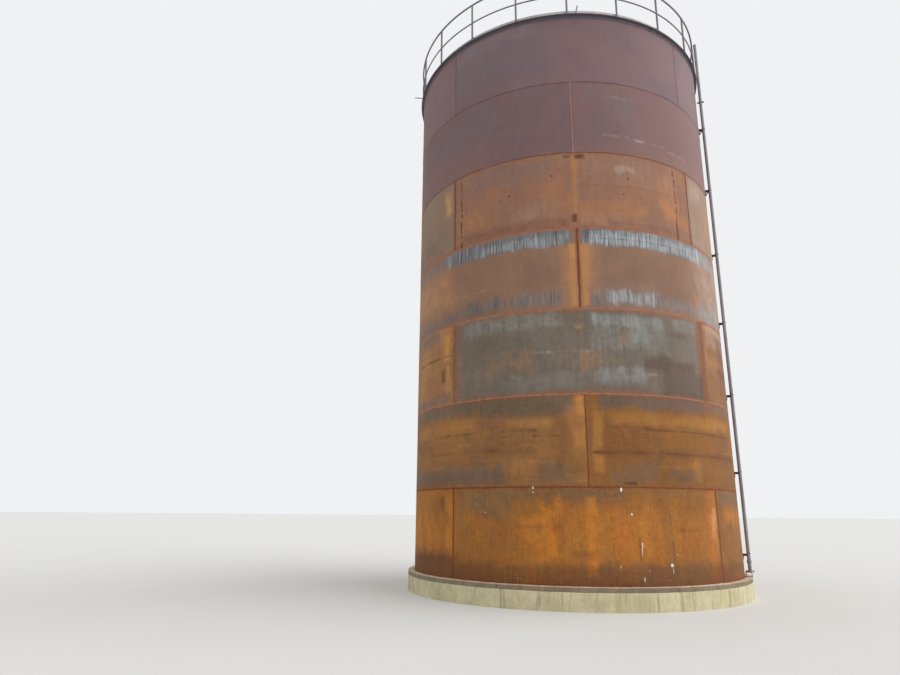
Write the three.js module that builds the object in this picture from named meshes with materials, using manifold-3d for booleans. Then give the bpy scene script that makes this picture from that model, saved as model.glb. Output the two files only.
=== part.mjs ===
// Vertical storage tank: a welded shell of rusty plates on a round concrete plinth, with a guard rail
// round a low cone roof. Millimetres, +Z up. The origin is on the tank's axis at the underside of the
// plinth. A bearing is an angle in degrees round the tank, 0 at the -Y side and growing towards +X.
import * as THREE from 'three';
import { mergeVertices } from 'three/addons/utils/BufferGeometryUtils.js';
import Module from 'manifold-3d';

const wasm = await Module();
wasm.setup();

// Foundation
const PLINTH_RADIUS = 3970;
const PLINTH_HEIGHT = 420;
const BOTTOM_RADIUS = 3960;
const BOTTOM_THICKNESS = 10;

// Shell
const SHELL_RADIUS = 3810;
const PLATE_THICKNESS = 8;
const COURSE_HEIGHT = 1803;
const COURSE_COUNT = 7;
const PLATES_PER_COURSE = 4;
const FACET_ANGLE = 5;
const SEAT_GAP = 0.4;
const WELD_GAP = 0.3;

// Curb ring on the shell's rim: a flat ring, a leg outside the shell and an upstand that holds rainwater
const RING_INNER_RADIUS = 3740;
const RING_OUTER_RADIUS = 3885;
const RING_THICKNESS = 8;
const RING_LEG_DROP = 67;
const UPSTAND_INNER_RADIUS = 3802;
const UPSTAND_THICKNESS = 6;
const UPSTAND_HEIGHT = 130;
const SPOUT_BEARINGS = [3, 103, 183, 283];
const SPOUT_RADIUS = 15;
const SPOUT_BORE_RADIUS = 11;
const SPOUT_REACH = 4090;
const SPOUT_LIFT = 16;

// Roof
const ROOF_THICKNESS = 6;
const ROOF_RISE = 374;
const NOZZLE_RADIUS = 109.5;
const NOZZLE_WALL = 6;
const NOZZLE_HEIGHT = 230;
const NOZZLE_SINK = 60;
const NOZZLE_FLANGE_RADIUS = 160;
const NOZZLE_FLANGE_THICKNESS = 20;
const HATCH_BEARING = 235;
const HATCH_DISTANCE = 2650;
const HATCH_NECK_RADIUS = 305;
const HATCH_NECK_WALL = 8;
const HATCH_FLANGE_RADIUS = 370;
const HATCH_FOOT = 50;
const HATCH_HEIGHT = 290;
const HATCH_FLANGE_THICKNESS = 12;

// Guard rail
const POST_COUNT = 20;
const POSTS_PER_SECTION = 5;
const POST_ANGLE = 360 / POST_COUNT;
const OPEN_BAY_BEARING = 207;
const RAIL_RADIUS = 3845;
const RAIL_HEIGHT = 1100;
const POST_TUBE_RADIUS = 24;
const TOP_TUBE_RADIUS = 21;
const MIDDLE_TUBE_RADIUS = 16.5;
const MIDDLE_RAIL_HEIGHT = 539;
const RAIL_STEP_ANGLE = 6;

// Landing bracket at the rail's open bay
const LANDING_REACH = 4190;
const LANDING_WIDTH = 900;
const LANDING_ARM_SPACING = 800;
const LANDING_ARM_DEPTH = 80;
const LANDING_ARM_WIDTH = 60;
const LANDING_DECK_THICKNESS = 8;
const LANDING_DECK_GAP = 5;
const LANDING_BRACE_DROP = 350;
const LANDING_BRACE_SET_BACK = 60;
const LANDING_BRACE_RADIUS = 30;
const LANDING_FOOT_SIZE = 150;
const LANDING_FOOT_THICKNESS = 10;

// Standpipe
const PIPE_BEARING = 72;
const PIPE_DISTANCE = 3925;
const PIPE_RADIUS = 38;
const PIPE_TOP = 14140;
const PIPE_FLANGE_RADIUS = 92.5;
const PIPE_FLANGE_THICKNESS = 36;
const PIPE_FLANGE_HEIGHT = 11890;
const PIPE_FOOT_HEIGHT = 100;
const PIPE_FOOT_LENGTH = 130;
const PIPE_FOOT_WIDTH = 170;
const PIPE_FOOT_FLANGE_THICKNESS = 20;
const PIPE_COUPLING_RADIUS = 48;
const PIPE_COUPLING_LENGTH = 70;
const PIPE_COUPLING_HEIGHT = 309;
const CLAMP_COUNT = 7;
const CLAMP_FIRST_HEIGHT = 469;
const CLAMP_SPACING = 1772;
const CLAMP_WIDTH = 50;
const CLAMP_THICKNESS = 10;
const CLAMP_OVERHANG = 8;

// Manway in the lowest course
const MANWAY_BEARING = 180;
const MANWAY_HEIGHT = 750;
const MANWAY_NECK_RADIUS = 305;
const MANWAY_NECK_WALL = 10;
const MANWAY_NECK_INSIDE = 3700;
const MANWAY_FACE = 4080;
const MANWAY_FLANGE_RADIUS = 380;
const MANWAY_FLANGE_THICKNESS = 20;
const MANWAY_COVER_THICKNESS = 16;
const MANWAY_PAD_RADIUS = 560;
const MANWAY_PAD_THICKNESS = 8;
const PAD_HALF_ANGLE = 10;
const HANDLE_HEIGHT = 220;
const HANDLE_REACH = 60;
const HANDLE_RADIUS = 9;
const HANDLE_SPACING = 260;
const DAVIT_SIDE = 480;
const DAVIT_RADIUS = 21;
const DAVIT_FOOT = 180;
const DAVIT_TOP = 750;
const DAVIT_BEND = 350;
const DAVIT_TIP = -60;
const DAVIT_HOOK_RADIUS = 10;
const DAVIT_LUG_HEIGHTS = [-60, 120];
const DAVIT_LUG_THICKNESS = 16;
const DAVIT_LUG_OVERLAP = 30;
const DAVIT_SOCKET_WALL = 14;
const DAVIT_COLLAR_WALL = 10;
const DAVIT_COLLAR_HEIGHT = 20;
const COVER_LUG_WIDTH = 50;
const COVER_LUG_HEIGHT = 60;

// Heights worked out from the sizes above
const SHELL_FOOT = PLINTH_HEIGHT + BOTTOM_THICKNESS;
const SHELL_TOP = SHELL_FOOT + COURSE_COUNT * COURSE_HEIGHT;
const RING_TOP = SHELL_TOP + RING_THICKNESS;
const RAIL_TOP = SHELL_TOP + RAIL_HEIGHT;
const RING_SEGMENTS = 360 / FACET_ANGLE;
const MERGE_TOLERANCE = 1e-3;

// Sides of a round piece: a neck or flange, a pipe, a bar or tube, and a brace
const NECK_SIDES = 36;
const PIPE_SIDES = 16;
const BAR_SIDES = 8;
const BRACE_SIDES = 4;

// Steps along a bent bar
const HANDLE_STEPS = 16;
const DAVIT_STEPS = 24;

// How far a piece is drawn into its neighbour before they are joined, or before it is cut back to its seat
const OVERLAP = 1;
const SEAT_DEPTH = 20;

// Turns a closed geometry into a solid for cutting and joining.
function solidOf(geometry) {
  const bare = geometry.clone();
  bare.deleteAttribute('normal');
  bare.deleteAttribute('uv');
  const merged = mergeVertices(bare, MERGE_TOLERANCE);
  const corners = merged.index.array;
  const triVerts = [];
  for (let i = 0; i < corners.length; i += 3) {
    const [a, b, c] = corners.slice(i, i + 3);
    if (a !== b && b !== c && c !== a) {
      triVerts.push(a, b, c);
    }
  }
  const vertProperties = merged.attributes.position.array;
  const mesh = new wasm.Mesh({ numProp: 3, vertProperties, triVerts: new Uint32Array(triVerts) });
  return new wasm.Manifold(mesh);
}

// Turns a solid back into a geometry.
function geometryOf(solid) {
  const mesh = solid.getMesh();
  const geometry = new THREE.BufferGeometry();
  geometry.setAttribute('position', new THREE.BufferAttribute(mesh.vertProperties, 3));
  geometry.setIndex(Array.from(mesh.triVerts));
  geometry.computeVertexNormals();
  return geometry;
}

function join(first, ...others) {
  return geometryOf(others.reduce((solid, other) => solid.add(solidOf(other)), solidOf(first)));
}

function cut(first, ...tools) {
  return geometryOf(tools.reduce((solid, tool) => solid.subtract(solidOf(tool)), solidOf(first)));
}

function common(first, second) {
  return geometryOf(solidOf(first).intersect(solidOf(second)));
}

// A point at a distance from the tank's axis, a bearing and a height.
function place(distance, bearing, height) {
  const angle = THREE.MathUtils.degToRad(bearing);
  return new THREE.Vector3(distance * Math.sin(angle), -distance * Math.cos(angle), height);
}

// Solid of revolution about the tank's axis from a profile of [radius, height] pairs, outer side upwards.
function revolve(profile, segments = RING_SEGMENTS) {
  const points = profile.map(([radius, height]) => new THREE.Vector2(radius, height));
  return new THREE.LatheGeometry(points, segments).rotateX(Math.PI / 2);
}

// Straight round bar between two points.
function rod(from, to, radius, sides) {
  const direction = to.clone().sub(from);
  const geometry = new THREE.CylinderGeometry(radius, radius, direction.length(), sides);
  const turn = new THREE.Quaternion().setFromUnitVectors(new THREE.Vector3(0, 1, 0), direction.normalize());
  const middle = from.clone().add(to).multiplyScalar(0.5);
  return geometry.applyQuaternion(turn).translate(middle.x, middle.y, middle.z);
}

// Upright round bar standing at a point of the plan.
function upright(x, y, low, high, radius, sides) {
  return rod(new THREE.Vector3(x, y, low), new THREE.Vector3(x, y, high), radius, sides);
}

// Box that reaches outwards from one distance to another at a bearing, moved sideways by side.
function block({ inner, outer, width, low, high, bearing, side = 0 }) {
  const geometry = new THREE.BoxGeometry(outer - inner, width, high - low);
  geometry.translate((inner + outer) / 2, side, (low + high) / 2);
  return geometry.rotateZ(THREE.MathUtils.degToRad(bearing - 90));
}

// Round section of a bar, drawn as a polygon.
function roundSection(radius, sides) {
  const corners = Array.from({ length: sides }, (_, i) => {
    const angle = (2 * Math.PI * (i + 0.5)) / sides;
    return new THREE.Vector2(radius * Math.cos(angle), radius * Math.sin(angle));
  });
  return new THREE.Shape(corners);
}

// Part of a level circle round the tank's axis, as a path for a bent tube.
class LevelArc extends THREE.Curve {
  constructor(radius, start, end, height) {
    super();
    this.radius = radius;
    this.start = start;
    this.end = end;
    this.height = height;
  }

  getPoint(t, target = new THREE.Vector3()) {
    return target.copy(place(this.radius, THREE.MathUtils.lerp(this.start, this.end, t), this.height));
  }
}

// Bar along straight runs between corners, with each corner rounded off at a distance from it.
function bentBar(corners, bend, radius, sides, steps) {
  const path = new THREE.CurvePath();
  let start = corners[0];
  for (let i = 1; i < corners.length - 1; i += 1) {
    const corner = corners[i];
    const before = corner.clone().add(start.clone().sub(corner).setLength(bend));
    const after = corner.clone().add(corners[i + 1].clone().sub(corner).setLength(bend));
    path.add(new THREE.LineCurve3(start, before));
    path.add(new THREE.QuadraticBezierCurve3(before, corner, after));
    start = after;
  }
  path.add(new THREE.LineCurve3(start, corners[corners.length - 1]));
  return new THREE.ExtrudeGeometry(roundSection(radius, sides), { steps, extrudePath: path });
}

// Corners of the faceted wall between two bearings, with both ends drawn back by a gap along the wall.
function wallLine(radius, start, end, gap) {
  const line = [];
  for (let bearing = start; bearing <= end; bearing += FACET_ANGLE) {
    const corner = place(radius, bearing, 0);
    line.push(new THREE.Vector2(corner.x, corner.y));
  }
  const last = line.length - 1;
  const head = line[0].clone().add(line[1].clone().sub(line[0]).setLength(gap));
  const tail = line[last].clone().add(line[last - 1].clone().sub(line[last]).setLength(gap));
  return [head, ...line.slice(1, last), tail];
}

// Rolled plate standing on z = 0 between two bearings.
function rolledPlate(innerRadius, outerRadius, start, end, height, gap) {
  const outside = wallLine(outerRadius, start, end, gap);
  const inside = wallLine(innerRadius, start, end, gap).reverse();
  const shape = new THREE.Shape([...outside, ...inside]);
  return new THREE.ExtrudeGeometry(shape, { depth: height, bevelEnabled: false });
}

// The space that the shell and the ring's leg take up, a little larger, for seating brackets on them.
function tankSpace() {
  const wall = SHELL_RADIUS + SEAT_GAP;
  const leg = wall + PLATE_THICKNESS + SEAT_GAP;
  const legFoot = SHELL_TOP - RING_LEG_DROP - SEAT_GAP;
  return revolve([
    [0, SHELL_FOOT],
    [wall, SHELL_FOOT],
    [wall, legFoot],
    [leg, legFoot],
    [leg, RING_TOP],
    [0, RING_TOP],
  ]);
}

function plinthGeometry() {
  return revolve([[0, 0], [PLINTH_RADIUS, 0], [PLINTH_RADIUS, PLINTH_HEIGHT], [0, PLINTH_HEIGHT]]);
}

function bottomPlateGeometry() {
  return revolve([
    [0, PLINTH_HEIGHT],
    [BOTTOM_RADIUS, PLINTH_HEIGHT],
    [BOTTOM_RADIUS, SHELL_FOOT],
    [0, SHELL_FOOT],
  ]);
}

function shellPlateGeometry() {
  const half = 180 / PLATES_PER_COURSE;
  return rolledPlate(SHELL_RADIUS - PLATE_THICKNESS, SHELL_RADIUS, -half, half, COURSE_HEIGHT, WELD_GAP / 2);
}

// The shell plate round the manway, with a hole for its neck.
function manwayPlateGeometry() {
  const from = new THREE.Vector3(0, -MANWAY_NECK_INSIDE, MANWAY_HEIGHT);
  const to = new THREE.Vector3(0, -MANWAY_FACE, MANWAY_HEIGHT);
  return cut(shellPlateGeometry(), rod(from, to, MANWAY_NECK_RADIUS + SEAT_GAP, NECK_SIDES));
}

function curbRingGeometry() {
  const legInner = SHELL_RADIUS + SEAT_GAP;
  const legOuter = legInner + PLATE_THICKNESS;
  const legFoot = SHELL_TOP - RING_LEG_DROP;
  const upstandOuter = UPSTAND_INNER_RADIUS + UPSTAND_THICKNESS;
  const upstandTop = RING_TOP + UPSTAND_HEIGHT;
  const ring = revolve([
    [RING_INNER_RADIUS, SHELL_TOP],
    [legInner, SHELL_TOP],
    [legInner, legFoot],
    [legOuter, legFoot],
    [legOuter, SHELL_TOP],
    [RING_OUTER_RADIUS, SHELL_TOP],
    [RING_OUTER_RADIUS, RING_TOP],
    [upstandOuter, RING_TOP],
    [upstandOuter, upstandTop],
    [UPSTAND_INNER_RADIUS, upstandTop],
    [UPSTAND_INNER_RADIUS, RING_TOP],
    [RING_INNER_RADIUS, RING_TOP],
    [RING_INNER_RADIUS, SHELL_TOP],
  ]);
  const spoutBar = (bearing, inner, outer, radius) => {
    const height = RING_TOP + SPOUT_LIFT;
    return rod(place(inner, bearing, height), place(outer, bearing, height), radius, BAR_SIDES);
  };
  const spouts = SPOUT_BEARINGS.map((bearing) =>
    spoutBar(bearing, UPSTAND_INNER_RADIUS, SPOUT_REACH, SPOUT_RADIUS));
  const bores = SPOUT_BEARINGS.map((bearing) =>
    spoutBar(bearing, RING_INNER_RADIUS, SPOUT_REACH + OVERLAP, SPOUT_BORE_RADIUS));
  return cut(join(ring, ...spouts), ...bores);
}

// Low cone with a level edge that lies on the curb ring.
function wholeRoofGeometry() {
  const edge = UPSTAND_INNER_RADIUS - SEAT_GAP;
  const apex = RING_TOP + ROOF_RISE;
  const cone = revolve([
    [0, apex],
    [RING_INNER_RADIUS, RING_TOP],
    [edge, RING_TOP],
    [edge, RING_TOP + ROOF_THICKNESS],
    [RING_INNER_RADIUS, RING_TOP + ROOF_THICKNESS],
    [0, apex + ROOF_THICKNESS],
  ]);
  const hatch = place(HATCH_DISTANCE, HATCH_BEARING, 0);
  const nozzleHole = upright(0, 0, RING_TOP, RAIL_TOP, NOZZLE_RADIUS + SEAT_GAP, NECK_SIDES);
  const hatchHole = upright(hatch.x, hatch.y, RING_TOP, RAIL_TOP, HATCH_NECK_RADIUS + SEAT_GAP, NECK_SIDES);
  return cut(cone, nozzleHole, hatchHole);
}

// One half of the roof, side -1 for the left half and 1 for the right half.
function roofHalfGeometry(whole, side) {
  const other = new THREE.BoxGeometry(2 * SHELL_RADIUS, 3 * SHELL_RADIUS, RAIL_HEIGHT);
  other.translate(side * (WELD_GAP / 2 - SHELL_RADIUS), 0, RING_TOP + RAIL_HEIGHT / 2 - ROOF_THICKNESS);
  return cut(whole, other);
}

// Short pipe at the roof's middle, closed by a blind flange.
function roofNozzleGeometry() {
  const bore = NOZZLE_RADIUS - NOZZLE_WALL;
  const roofTop = RING_TOP + ROOF_RISE + ROOF_THICKNESS;
  const top = roofTop + NOZZLE_HEIGHT;
  const low = roofTop - NOZZLE_SINK;
  return revolve([
    [0, top - NOZZLE_FLANGE_THICKNESS],
    [bore, top - NOZZLE_FLANGE_THICKNESS],
    [bore, low],
    [NOZZLE_RADIUS, low],
    [NOZZLE_RADIUS, top - 2 * NOZZLE_FLANGE_THICKNESS],
    [NOZZLE_FLANGE_RADIUS, top - 2 * NOZZLE_FLANGE_THICKNESS],
    [NOZZLE_FLANGE_RADIUS, top],
    [0, top],
  ], NECK_SIDES);
}

// Neck of the roof hatch, standing on z = 0 at its own axis.
function hatchNeckGeometry() {
  const bore = HATCH_NECK_RADIUS - HATCH_NECK_WALL;
  const flangeFoot = HATCH_HEIGHT - HATCH_FLANGE_THICKNESS;
  return revolve([
    [bore, 0],
    [HATCH_NECK_RADIUS, 0],
    [HATCH_NECK_RADIUS, flangeFoot],
    [HATCH_FLANGE_RADIUS, flangeFoot],
    [HATCH_FLANGE_RADIUS, HATCH_HEIGHT],
    [bore, HATCH_HEIGHT],
    [bore, 0],
  ], NECK_SIDES);
}

// Upright handle bar bowed out from a face at y = 0 towards -Y.
function handleBar(x, middle) {
  const low = middle - HANDLE_HEIGHT / 2;
  const high = middle + HANDLE_HEIGHT / 2;
  const corners = [
    new THREE.Vector3(x, HANDLE_RADIUS, low),
    new THREE.Vector3(x, -HANDLE_REACH, low),
    new THREE.Vector3(x, -HANDLE_REACH, high),
    new THREE.Vector3(x, HANDLE_RADIUS, high),
  ];
  return bentBar(corners, HANDLE_REACH / 2, HANDLE_RADIUS, BAR_SIDES, HANDLE_STEPS);
}

// Flat round cover of the roof hatch with a handle on its top.
function hatchCoverGeometry() {
  const disc = upright(0, 0, 0, HATCH_FLANGE_THICKNESS, HATCH_FLANGE_RADIUS, NECK_SIDES);
  const handle = handleBar(0, 0).rotateX(-Math.PI / 2).translate(0, 0, HATCH_FLANGE_THICKNESS);
  return join(disc, handle);
}

// Posts and two bent tubes between two bearings. An end with no post carries on to the next section.
function guardRailGeometry(start, end, postBearings) {
  const steps = Math.round((end - start) / RAIL_STEP_ANGLE);
  const topTube = new THREE.ExtrudeGeometry(roundSection(TOP_TUBE_RADIUS, BAR_SIDES), {
    steps,
    extrudePath: new LevelArc(RAIL_RADIUS, start, end, RAIL_TOP - TOP_TUBE_RADIUS),
  });
  const middleTube = new THREE.ExtrudeGeometry(roundSection(MIDDLE_TUBE_RADIUS, BAR_SIDES), {
    steps,
    extrudePath: new LevelArc(RAIL_RADIUS, start, end, SHELL_TOP + MIDDLE_RAIL_HEIGHT),
  });
  const posts = postBearings.map((bearing) => {
    const foot = place(RAIL_RADIUS, bearing, RING_TOP);
    return upright(foot.x, foot.y, RING_TOP, RAIL_TOP - TOP_TUBE_RADIUS, POST_TUBE_RADIUS, BAR_SIDES);
  });
  return join(topTube, middleTube, ...posts);
}

// Short deck on two braced arms, where a walkway is bolted on.
function landingGeometry() {
  const bearing = OPEN_BAY_BEARING;
  const deckTop = SHELL_TOP;
  const armTop = deckTop - LANDING_DECK_THICKNESS;
  const armFoot = armTop - LANDING_ARM_DEPTH;
  const inner = RING_OUTER_RADIUS + LANDING_DECK_GAP;
  const deck = block({
    inner,
    outer: LANDING_REACH,
    width: LANDING_WIDTH,
    low: armTop,
    high: deckTop,
    bearing,
  });
  const endBeam = block({
    inner: LANDING_REACH - LANDING_DECK_THICKNESS,
    outer: LANDING_REACH,
    width: LANDING_WIDTH,
    low: armFoot,
    high: deckTop,
    bearing,
  });
  const arms = [-1, 1].flatMap((sign) => {
    const side = (sign * LANDING_ARM_SPACING) / 2;
    const turn = THREE.MathUtils.radToDeg(Math.asin(side / SHELL_RADIUS));
    const alongside = (distance, height) => {
      const out = place(distance, bearing, height);
      const across = place(side, bearing + 90, 0);
      return out.add(across);
    };
    const braceFoot = armFoot - LANDING_BRACE_DROP;
    const braceHead = LANDING_REACH - LANDING_BRACE_SET_BACK;
    const wall = Math.sqrt(SHELL_RADIUS ** 2 - side ** 2) - 2 * SEAT_DEPTH;
    return [
      block({
        inner: RING_INNER_RADIUS,
        outer: LANDING_REACH - OVERLAP,
        width: LANDING_ARM_WIDTH,
        low: armFoot,
        high: armTop + OVERLAP,
        bearing,
        side,
      }),
      rod(
        alongside(wall, braceFoot),
        alongside(braceHead, armFoot + SEAT_DEPTH),
        LANDING_BRACE_RADIUS,
        BRACE_SIDES,
      ),
      block({
        inner: SHELL_RADIUS - SEAT_DEPTH,
        outer: SHELL_RADIUS + LANDING_FOOT_THICKNESS,
        width: LANDING_FOOT_SIZE,
        low: braceFoot - LANDING_FOOT_SIZE / 2,
        high: braceFoot + LANDING_FOOT_SIZE / 2,
        bearing: bearing + turn,
      }),
    ];
  });
  return cut(join(deck, endBeam, ...arms), tankSpace());
}

// Upright pipe on its foot block, held to the shell by clamps.
function standpipeGeometry() {
  const axis = place(PIPE_DISTANCE, PIPE_BEARING, 0);
  const ring = (low, high, radius) => upright(axis.x, axis.y, low, high, radius, PIPE_SIDES);
  const footTop = SHELL_FOOT + PIPE_FOOT_HEIGHT;
  const flangeFoot = SHELL_FOOT + PIPE_FLANGE_HEIGHT;
  const couplingFoot = SHELL_FOOT + PIPE_COUPLING_HEIGHT - PIPE_COUPLING_LENGTH / 2;
  const pipe = ring(footTop - OVERLAP, PIPE_TOP, PIPE_RADIUS);
  const foot = block({
    inner: BOTTOM_RADIUS - PIPE_FOOT_LENGTH,
    outer: BOTTOM_RADIUS,
    width: PIPE_FOOT_WIDTH,
    low: SHELL_FOOT,
    high: footTop,
    bearing: PIPE_BEARING,
  });
  const clamps = Array.from({ length: CLAMP_COUNT }, (_, i) => {
    const low = SHELL_FOOT + CLAMP_FIRST_HEIGHT + i * CLAMP_SPACING;
    return block({
      inner: SHELL_RADIUS - SEAT_DEPTH,
      outer: PIPE_DISTANCE + PIPE_RADIUS + CLAMP_OVERHANG,
      width: CLAMP_WIDTH,
      low,
      high: low + CLAMP_THICKNESS,
      bearing: PIPE_BEARING,
    });
  });
  const whole = join(
    pipe,
    foot,
    ring(footTop, footTop + PIPE_FOOT_FLANGE_THICKNESS, PIPE_FLANGE_RADIUS),
    ring(couplingFoot, couplingFoot + PIPE_COUPLING_LENGTH, PIPE_COUPLING_RADIUS),
    ring(flangeFoot, flangeFoot + PIPE_FLANGE_THICKNESS, PIPE_FLANGE_RADIUS),
    ...clamps,
  );
  return cut(whole, tankSpace());
}

// Neck, flange and reinforcing pad of the manway, facing -Y, with two lugs for the davit.
function manwayNeckGeometry() {
  const height = SHELL_FOOT + MANWAY_HEIGHT;
  const at = (distance) => new THREE.Vector3(0, -distance, height);
  const flangeBack = at(MANWAY_FACE - MANWAY_FLANGE_THICKNESS);
  const tube = rod(at(MANWAY_NECK_INSIDE), at(MANWAY_FACE), MANWAY_NECK_RADIUS, NECK_SIDES);
  const flange = rod(flangeBack, at(MANWAY_FACE), MANWAY_FLANGE_RADIUS, NECK_SIDES);
  const boreRadius = MANWAY_NECK_RADIUS - MANWAY_NECK_WALL;
  const bore = rod(at(MANWAY_NECK_INSIDE - OVERLAP), at(MANWAY_FACE + OVERLAP), boreRadius, NECK_SIDES);
  const padInner = SHELL_RADIUS + SEAT_GAP;
  const padOuter = padInner + MANWAY_PAD_THICKNESS;
  const padHeight = 2 * MANWAY_PAD_RADIUS;
  const padSheet = rolledPlate(padInner, padOuter, -PAD_HALF_ANGLE, PAD_HALF_ANGLE, padHeight, 0);
  padSheet.translate(0, 0, height - MANWAY_PAD_RADIUS);
  const pad = common(padSheet, rod(at(RING_INNER_RADIUS), at(MANWAY_FACE), MANWAY_PAD_RADIUS, NECK_SIDES));
  const lugs = DAVIT_LUG_HEIGHTS.flatMap((offset) => {
    const low = height + offset;
    const high = low + DAVIT_LUG_THICKNESS;
    const start = MANWAY_FLANGE_RADIUS - DAVIT_LUG_OVERLAP;
    return [
      block({
        inner: MANWAY_FACE - MANWAY_FLANGE_THICKNESS,
        outer: MANWAY_FACE,
        width: DAVIT_SIDE - start,
        low,
        high,
        bearing: 0,
        side: (DAVIT_SIDE + start) / 2,
      }),
      upright(DAVIT_SIDE, -davitDistance(), low, high, DAVIT_RADIUS + DAVIT_SOCKET_WALL, PIPE_SIDES),
    ];
  });
  const socketRadius = DAVIT_RADIUS + SEAT_GAP;
  const sockets = upright(DAVIT_SIDE, -davitDistance(), SHELL_FOOT, SHELL_TOP, socketRadius, PIPE_SIDES);
  return cut(join(tube, flange, pad, ...lugs), bore, sockets);
}

// Distance from the tank's axis to the middle of the manway cover's thickness.
function davitDistance() {
  return MANWAY_FACE + WELD_GAP + MANWAY_COVER_THICKNESS / 2;
}

// Round manway cover with two handles and the lug that the davit's hook holds.
function manwayCoverGeometry() {
  const height = SHELL_FOOT + MANWAY_HEIGHT;
  const back = MANWAY_FACE + WELD_GAP;
  const front = back + MANWAY_COVER_THICKNESS;
  const at = (distance) => new THREE.Vector3(0, -distance, height);
  const lugTop = height + MANWAY_FLANGE_RADIUS + COVER_LUG_HEIGHT;
  const disc = rod(at(back), at(front), MANWAY_FLANGE_RADIUS, NECK_SIDES);
  const lug = block({
    inner: back,
    outer: front,
    width: COVER_LUG_WIDTH,
    low: height,
    high: lugTop,
    bearing: 0,
  });
  const handles = [-1, 1].map((sign) => {
    const side = (sign * HANDLE_SPACING) / 2;
    return handleBar(side, height).translate(0, -front, 0);
  });
  return join(disc, lug, ...handles);
}

// Swan-neck arm that stands in the manway's lugs and holds the cover by a hook.
function davitGeometry() {
  const height = SHELL_FOOT + MANWAY_HEIGHT;
  const y = -davitDistance();
  const top = height + DAVIT_TOP;
  const corners = [
    new THREE.Vector3(DAVIT_SIDE, y, height - DAVIT_FOOT),
    new THREE.Vector3(DAVIT_SIDE, y, top),
    new THREE.Vector3(DAVIT_TIP, y, top),
  ];
  const arm = bentBar(corners, DAVIT_BEND, DAVIT_RADIUS, BAR_SIDES, DAVIT_STEPS);
  const lugTop = height + MANWAY_FLANGE_RADIUS + COVER_LUG_HEIGHT;
  const hook = upright(0, y, lugTop + SEAT_GAP, top, DAVIT_HOOK_RADIUS, BAR_SIDES);
  const collarFoot = height + DAVIT_LUG_HEIGHTS[1] + DAVIT_LUG_THICKNESS + SEAT_GAP;
  const collarTop = collarFoot + DAVIT_COLLAR_HEIGHT;
  const collar = upright(DAVIT_SIDE, y, collarFoot, collarTop, DAVIT_RADIUS + DAVIT_COLLAR_WALL, PIPE_SIDES);
  return join(arm, hook, collar);
}

function steel(color, roughness, metalness) {
  return new THREE.MeshStandardMaterial({ color, roughness, metalness });
}

const PLINTH_CONCRETE = new THREE.MeshStandardMaterial({ color: '#a9a287', roughness: 0.9, metalness: 0 });
const RIM_STEEL = steel('#5c4d50', 0.7, 0.3);
const RAIL_STEEL = steel('#7d6d70', 0.65, 0.3);
const ROOF_STEEL = steel('#7a5a4c', 0.8, 0.25);
const FITTING_STEEL = steel('#84705f', 0.7, 0.3);
const PIPE_STEEL = steel('#7b675f', 0.65, 0.3);
const FOOT_STEEL = steel('#6b5138', 0.85, 0.2);

// Rust colour of each course, from the lowest to the highest.
const COURSE_COLOURS = ['#9a6032', '#8c6038', '#7d6a5a', '#91694b', '#976c52', '#7f6260', '#7c6467'];

const tank = new THREE.Group();

function addPiece(name, geometry, material, parent = tank) {
  const mesh = new THREE.Mesh(geometry, material);
  mesh.name = name;
  parent.add(mesh);
  return mesh;
}

addPiece('plinth', plinthGeometry(), PLINTH_CONCRETE);
addPiece('bottom_plate', bottomPlateGeometry(), FOOT_STEEL);

// Every second course is turned by half a plate, so that the upright welds are staggered.
const plainPlate = shellPlateGeometry();
const holedPlate = manwayPlateGeometry();
for (let course = 1; course <= COURSE_COUNT; course += 1) {
  const rust = steel(COURSE_COLOURS[course - 1], 0.75, 0.25);
  const stagger = course % 2 === 0 ? 0.5 : 0;
  for (let plate = 1; plate <= PLATES_PER_COURSE; plate += 1) {
    const bearing = ((plate - 1 + stagger) * 360) / PLATES_PER_COURSE;
    const holed = course === 1 && bearing === MANWAY_BEARING;
    const mesh = addPiece(`course_${course}_plate_${plate}`, holed ? holedPlate : plainPlate, rust);
    mesh.position.z = SHELL_FOOT + (course - 1) * COURSE_HEIGHT;
    mesh.rotation.z = THREE.MathUtils.degToRad(bearing);
  }
}

addPiece('curb_ring', curbRingGeometry(), RIM_STEEL);

const wholeRoof = wholeRoofGeometry();
addPiece('roof_left', roofHalfGeometry(wholeRoof, -1), ROOF_STEEL);
addPiece('roof_right', roofHalfGeometry(wholeRoof, 1), ROOF_STEEL);
addPiece('roof_nozzle', roofNozzleGeometry(), FITTING_STEEL);

// The hatch stands on the cone, its neck reaching a little way through.
const hatch = new THREE.Group();
hatch.position.copy(place(HATCH_DISTANCE, HATCH_BEARING, RING_TOP + HATCH_FOOT));
addPiece('roof_hatch_neck', hatchNeckGeometry(), FITTING_STEEL, hatch);
const hatchCover = addPiece('roof_hatch_cover', hatchCoverGeometry(), FITTING_STEEL, hatch);
hatchCover.position.z = HATCH_HEIGHT + WELD_GAP;
tank.add(hatch);

// Four rail sections meet in the middle of a bay, and the first and last end at the open bay's posts.
const firstPost = OPEN_BAY_BEARING + POST_ANGLE / 2;
const sectionCount = POST_COUNT / POSTS_PER_SECTION;
const gapAngle = THREE.MathUtils.radToDeg(WELD_GAP / 2 / RAIL_RADIUS);
for (let section = 0; section < sectionCount; section += 1) {
  const posts = Array.from(
    { length: POSTS_PER_SECTION },
    (_, i) => firstPost + (section * POSTS_PER_SECTION + i) * POST_ANGLE,
  );
  const start = section === 0 ? posts[0] : posts[0] - POST_ANGLE / 2 + gapAngle;
  const lastPost = posts[posts.length - 1];
  const end = section === sectionCount - 1 ? lastPost : lastPost + POST_ANGLE / 2 - gapAngle;
  addPiece(`guard_rail_${section + 1}`, guardRailGeometry(start, end, posts), RAIL_STEEL);
}

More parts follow.
